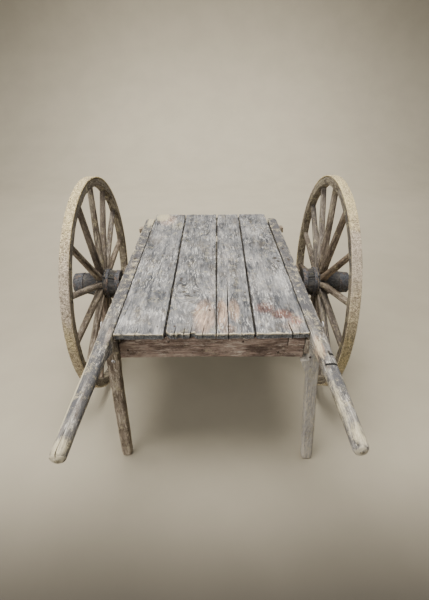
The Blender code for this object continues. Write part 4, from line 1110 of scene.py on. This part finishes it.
def nailHead(x, y, z, radius, height, seed, facing="up"):
    count, last = headLook["round"], len(headRows) - 1
    turn = 2 * np.pi * np.arange(count) / count
    circle = np.stack([np.cos(turn), np.sin(turn), turn * 0 + seed], 1)
    reach = radius * (1 + headLook["dent"] * smoothNoise(circle, (0.9, 0.9, 1), seed))
    points, faces = [], []
    for share, up in headRows:
        a, b, c = share * reach * np.cos(turn), share * reach * np.sin(turn), np.full(count, up * height)
        points.append(np.stack([a, b, c] if facing == "up" else [a, -c, b], 1))
    points = np.concatenate(points) + (x, y, z)
    for ring in range(last):
        for i in range(count):
            j = (i + 1) % count
            faces.append((ring * count + i, ring * count + j, (ring + 1) * count + j, (ring + 1) * count + i))
    for base in (0, last * count):
        for i in range(1, count - 2, 2):
            faces.append((base, base + i, base + i + 1, base + i + 2))
    faces = np.array(faces)
    empty = np.zeros_like(points)
    return points, faces, points, empty, empty, empty


nails = []
for i, (x, y, z) in enumerate(deckNails):
    nails.append(nailHead(x, y, z - 0.0011, 0.0026 + 0.0008 * (i * 7 % 5) / 2, 0.0007, 200 + i))
makePiece("deck_nails", nails, irons["nailIron"], "chassis")
railPegs = [(-0.371, -0.114), (-0.369, 0.19), (-0.364, 0.715), (0.364, 0.337), (0.365, 0.192), (0.366, 0.722)]
pegs = [nailHead(x, y, deckTop - 0.0012, 0.0046, 0.001, 240 + i) for i, (x, y) in enumerate(railPegs)]
makePiece("rail_bolts", pegs, irons["nailIron"], "chassis")
bolt = nailHead(0.352, -0.103, deckTop - 0.001, 0.0056, 0.0012, 250)
makePiece("bright_bolt", [bolt], irons["zincHead"], "chassis")
apronNails = [(-0.296, 0.575), (-0.15, 0.61), (0.11, 0.608), (0.236, 0.56)]
nails = [nailHead(x, -0.3858, z, 0.004, 0.001, 260 + i, "front") for i, (x, z) in enumerate(apronNails)]
nails += [
    nailHead(-0.3505, -0.3985, 0.533, 0.0028, 0.001, 270, "front"),
    nailHead(0.349, -0.3995, 0.548, 0.005, 0.0012, 271, "front")]
makePiece("front_nails", nails, irons["nailIron"], "chassis")
washer = nailHead(-0.3505, -0.3965, 0.533, 0.0068, 0.0012, 272, "front")
makePiece("leg_washer", [washer], irons["zincHead"], "chassis")


ringLook = dict(around=28, across=8)


def ringEye(x, y, z, size, wire):  # a small iron ring, standing in a plane along the shaft
    large, small = (2 * np.pi * np.arange(count) / count for count in (ringLook["around"], ringLook["across"]))
    turn, around = np.repeat(large, len(small)), np.tile(small, len(large))
    reach = size + wire * np.cos(around)
    points = np.stack([x + wire * np.sin(around), y + reach * np.cos(turn), z + reach * np.sin(turn)], 1)
    faces, empty = outward(points - (x, y, z), ringFaces(len(large), len(small))), np.zeros_like(points)
    return points, faces, points, empty, empty, empty


rings = [ringEye(-0.3925, -0.326, 0.643, 0.0105, 0.0019), ringEye(0.395, -0.338, 0.645, 0.0105, 0.0019)]
makePiece("shaft_rings", rings, irons["zincHead"], "chassis")
print("nails driven")


# Floor, light and camera
# The floor colours near, middle, behind and far, and the sideShade, are painted light and shade
floorLook = dict(
    half=9.0, front=-7.0, back=6.5, bend=2.5, height=7.0,
    nearFrom=(-1.06, -0.26), paleFrom=(-2.0, -1.1), behindFrom=(0.5, 4.5), farFrom=(0.3, 3.2), sideFrom=(0.9, 4.0),
    near=(0.057, 0.05, 0.039), middle=(0.4, 0.355, 0.266), behind=(0.82, 0.733, 0.555), far=(0.36, 0.322, 0.248),
    sideShade=0.72)


def makeFloor():
    half, front, back, bend, height = (floorLook[key] for key in ("half", "front", "back", "bend", "height"))
    lines = [(front, 0.0), (back - bend, 0.0)]
    for angle in np.linspace(0, math.pi / 2, 25)[1:]:
        lines.append((back - bend + bend * math.sin(angle), bend * (1 - math.cos(angle))))
    lines.append((back, height))
    points = [(x, y, z) for y, z in lines for x in (-half, half)]
    faces = [(2 * i, 2 * i + 1, 2 * i + 3, 2 * i + 2) for i in range(len(lines) - 1)]
    mesh = bpy.data.meshes.new("studio_floor")
    mesh.from_pydata(points, [], faces)
    mesh.polygons.foreach_set("use_smooth", [True] * len(mesh.polygons))
    material, tree, shader = newMaterial("paperFloor")
    where = put(tree, "TexCoord").outputs["Object"]
    tone = between(tree, speckle(tree, where, 3.0, 4.0, 0.6), 0.3, 0.7, 0.97, 1.03)
    # painted light: the floor colour is painted darker towards the viewer, with a painted pool of light behind the
    # cart, and painted shade up the wall and to both sides
    apart = put(tree, "SeparateXYZ", {0: where}).outputs
    shade = paint(tree, between(tree, apart[1], *floorLook["nearFrom"]), floorLook["near"], floorLook["middle"])
    shade = paint(tree, between(tree, apart[1], *floorLook["paleFrom"], 1.0, 0.0), shade, floorLook["middle"])
    shade = paint(tree, between(tree, apart[1], *floorLook["behindFrom"]), shade, floorLook["behind"])
    shade = paint(tree, between(tree, apart[2], *floorLook["farFrom"]), shade, floorLook["far"])
    aside = between(tree, sums(tree, "ABSOLUTE", apart[0]), *floorLook["sideFrom"], 1.0, floorLook["sideShade"])
    shade = shaded(tree, shade, aside)
    tree.links.new(shaded(tree, shade, tone), shader.inputs["Base Color"])
    shader.inputs["Roughness"].default_value = 0.9
    shader.inputs["Specular IOR Level"].default_value = 0.15
    mesh.materials.append(material)
    floor = bpy.data.objects.new("studio_floor", mesh)
    bpy.context.collection.objects.link(floor)
    floor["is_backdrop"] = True


lights = {
    "key": dict(at=(-0.25, -0.15, 4.2), aim=(0, 0.05, 0.3), size=(2.2, 2.2), watts=300, colour=(1.0, 0.975, 0.94)),
    "fill": dict(at=(-3.0, -3.0, 2.2), aim=(0, 0, 0.5), size=(3.4, 2.8), watts=150, colour=(1.0, 0.985, 0.96)),
    "wall": dict(at=(0.0, 3.4, 4.8), aim=(0, 6.0, 1.0), size=(3.0, 1.5), watts=95, colour=(1.0, 0.98, 0.95)),
}
skyLook = dict(colour=(0.93, 0.95, 1.0, 1), strength=0.22)


def makeLights():
    for name, look in lights.items():
        lamp = bpy.data.lights.new(name, "AREA")
        lamp.shape, lamp.energy, lamp.color = "RECTANGLE", look["watts"], look["colour"]
        lamp.size, lamp.size_y = look["size"]
        holder = bpy.data.objects.new(name, lamp)
        holder.location = look["at"]
        holder.rotation_euler = (Vector(look["aim"]) - Vector(look["at"])).to_track_quat("-Z", "Y").to_euler()
        bpy.context.collection.objects.link(holder)
    world = bpy.context.scene.world or bpy.data.worlds.new("studio")
    bpy.context.scene.world = world
    world.use_nodes = True
    sky = world.node_tree.nodes["Background"].inputs
    sky[0].default_value, sky[1].default_value = skyLook["colour"], skyLook["strength"]


cameraLook = dict(at=(0.0043, -1.5139, 1.4347), down=30.21, turn=0.326, lean=-0.2515, lens=23.9)


def makeCamera():
    down, turn, lean = (math.radians(cameraLook[key]) for key in ("down", "turn", "lean"))
    ahead = Vector((math.sin(turn) * math.cos(down), math.cos(turn) * math.cos(down), -math.sin(down)))
    right = Vector((math.cos(turn), -math.sin(turn), 0))
    up = right.cross(ahead)
    right, up = right * math.cos(lean) + up * math.sin(lean), up * math.cos(lean) - right * math.sin(lean)
    lens = bpy.data.cameras.new("photoCamera")
    lens.lens, lens.sensor_width = cameraLook["lens"], 36.0
    holder = bpy.data.objects.new("photoCamera", lens)
    bpy.context.collection.objects.link(holder)
    at = Vector(cameraLook["at"])
    holder.matrix_world = Matrix((
        (right.x, up.x, -ahead.x, at.x), (right.y, up.y, -ahead.y, at.y), (right.z, up.z, -ahead.z, at.z),
        (0, 0, 0, 1)))
    bpy.context.scene.camera = holder


makeFloor()
makeLights()
makeCamera()
print("floor, lights and camera set")

count = sum(
    len(piece.data.loop_triangles) or 2 * len(piece.data.polygons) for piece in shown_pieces() if piece.type == "MESH")
print("triangles shown:", count)
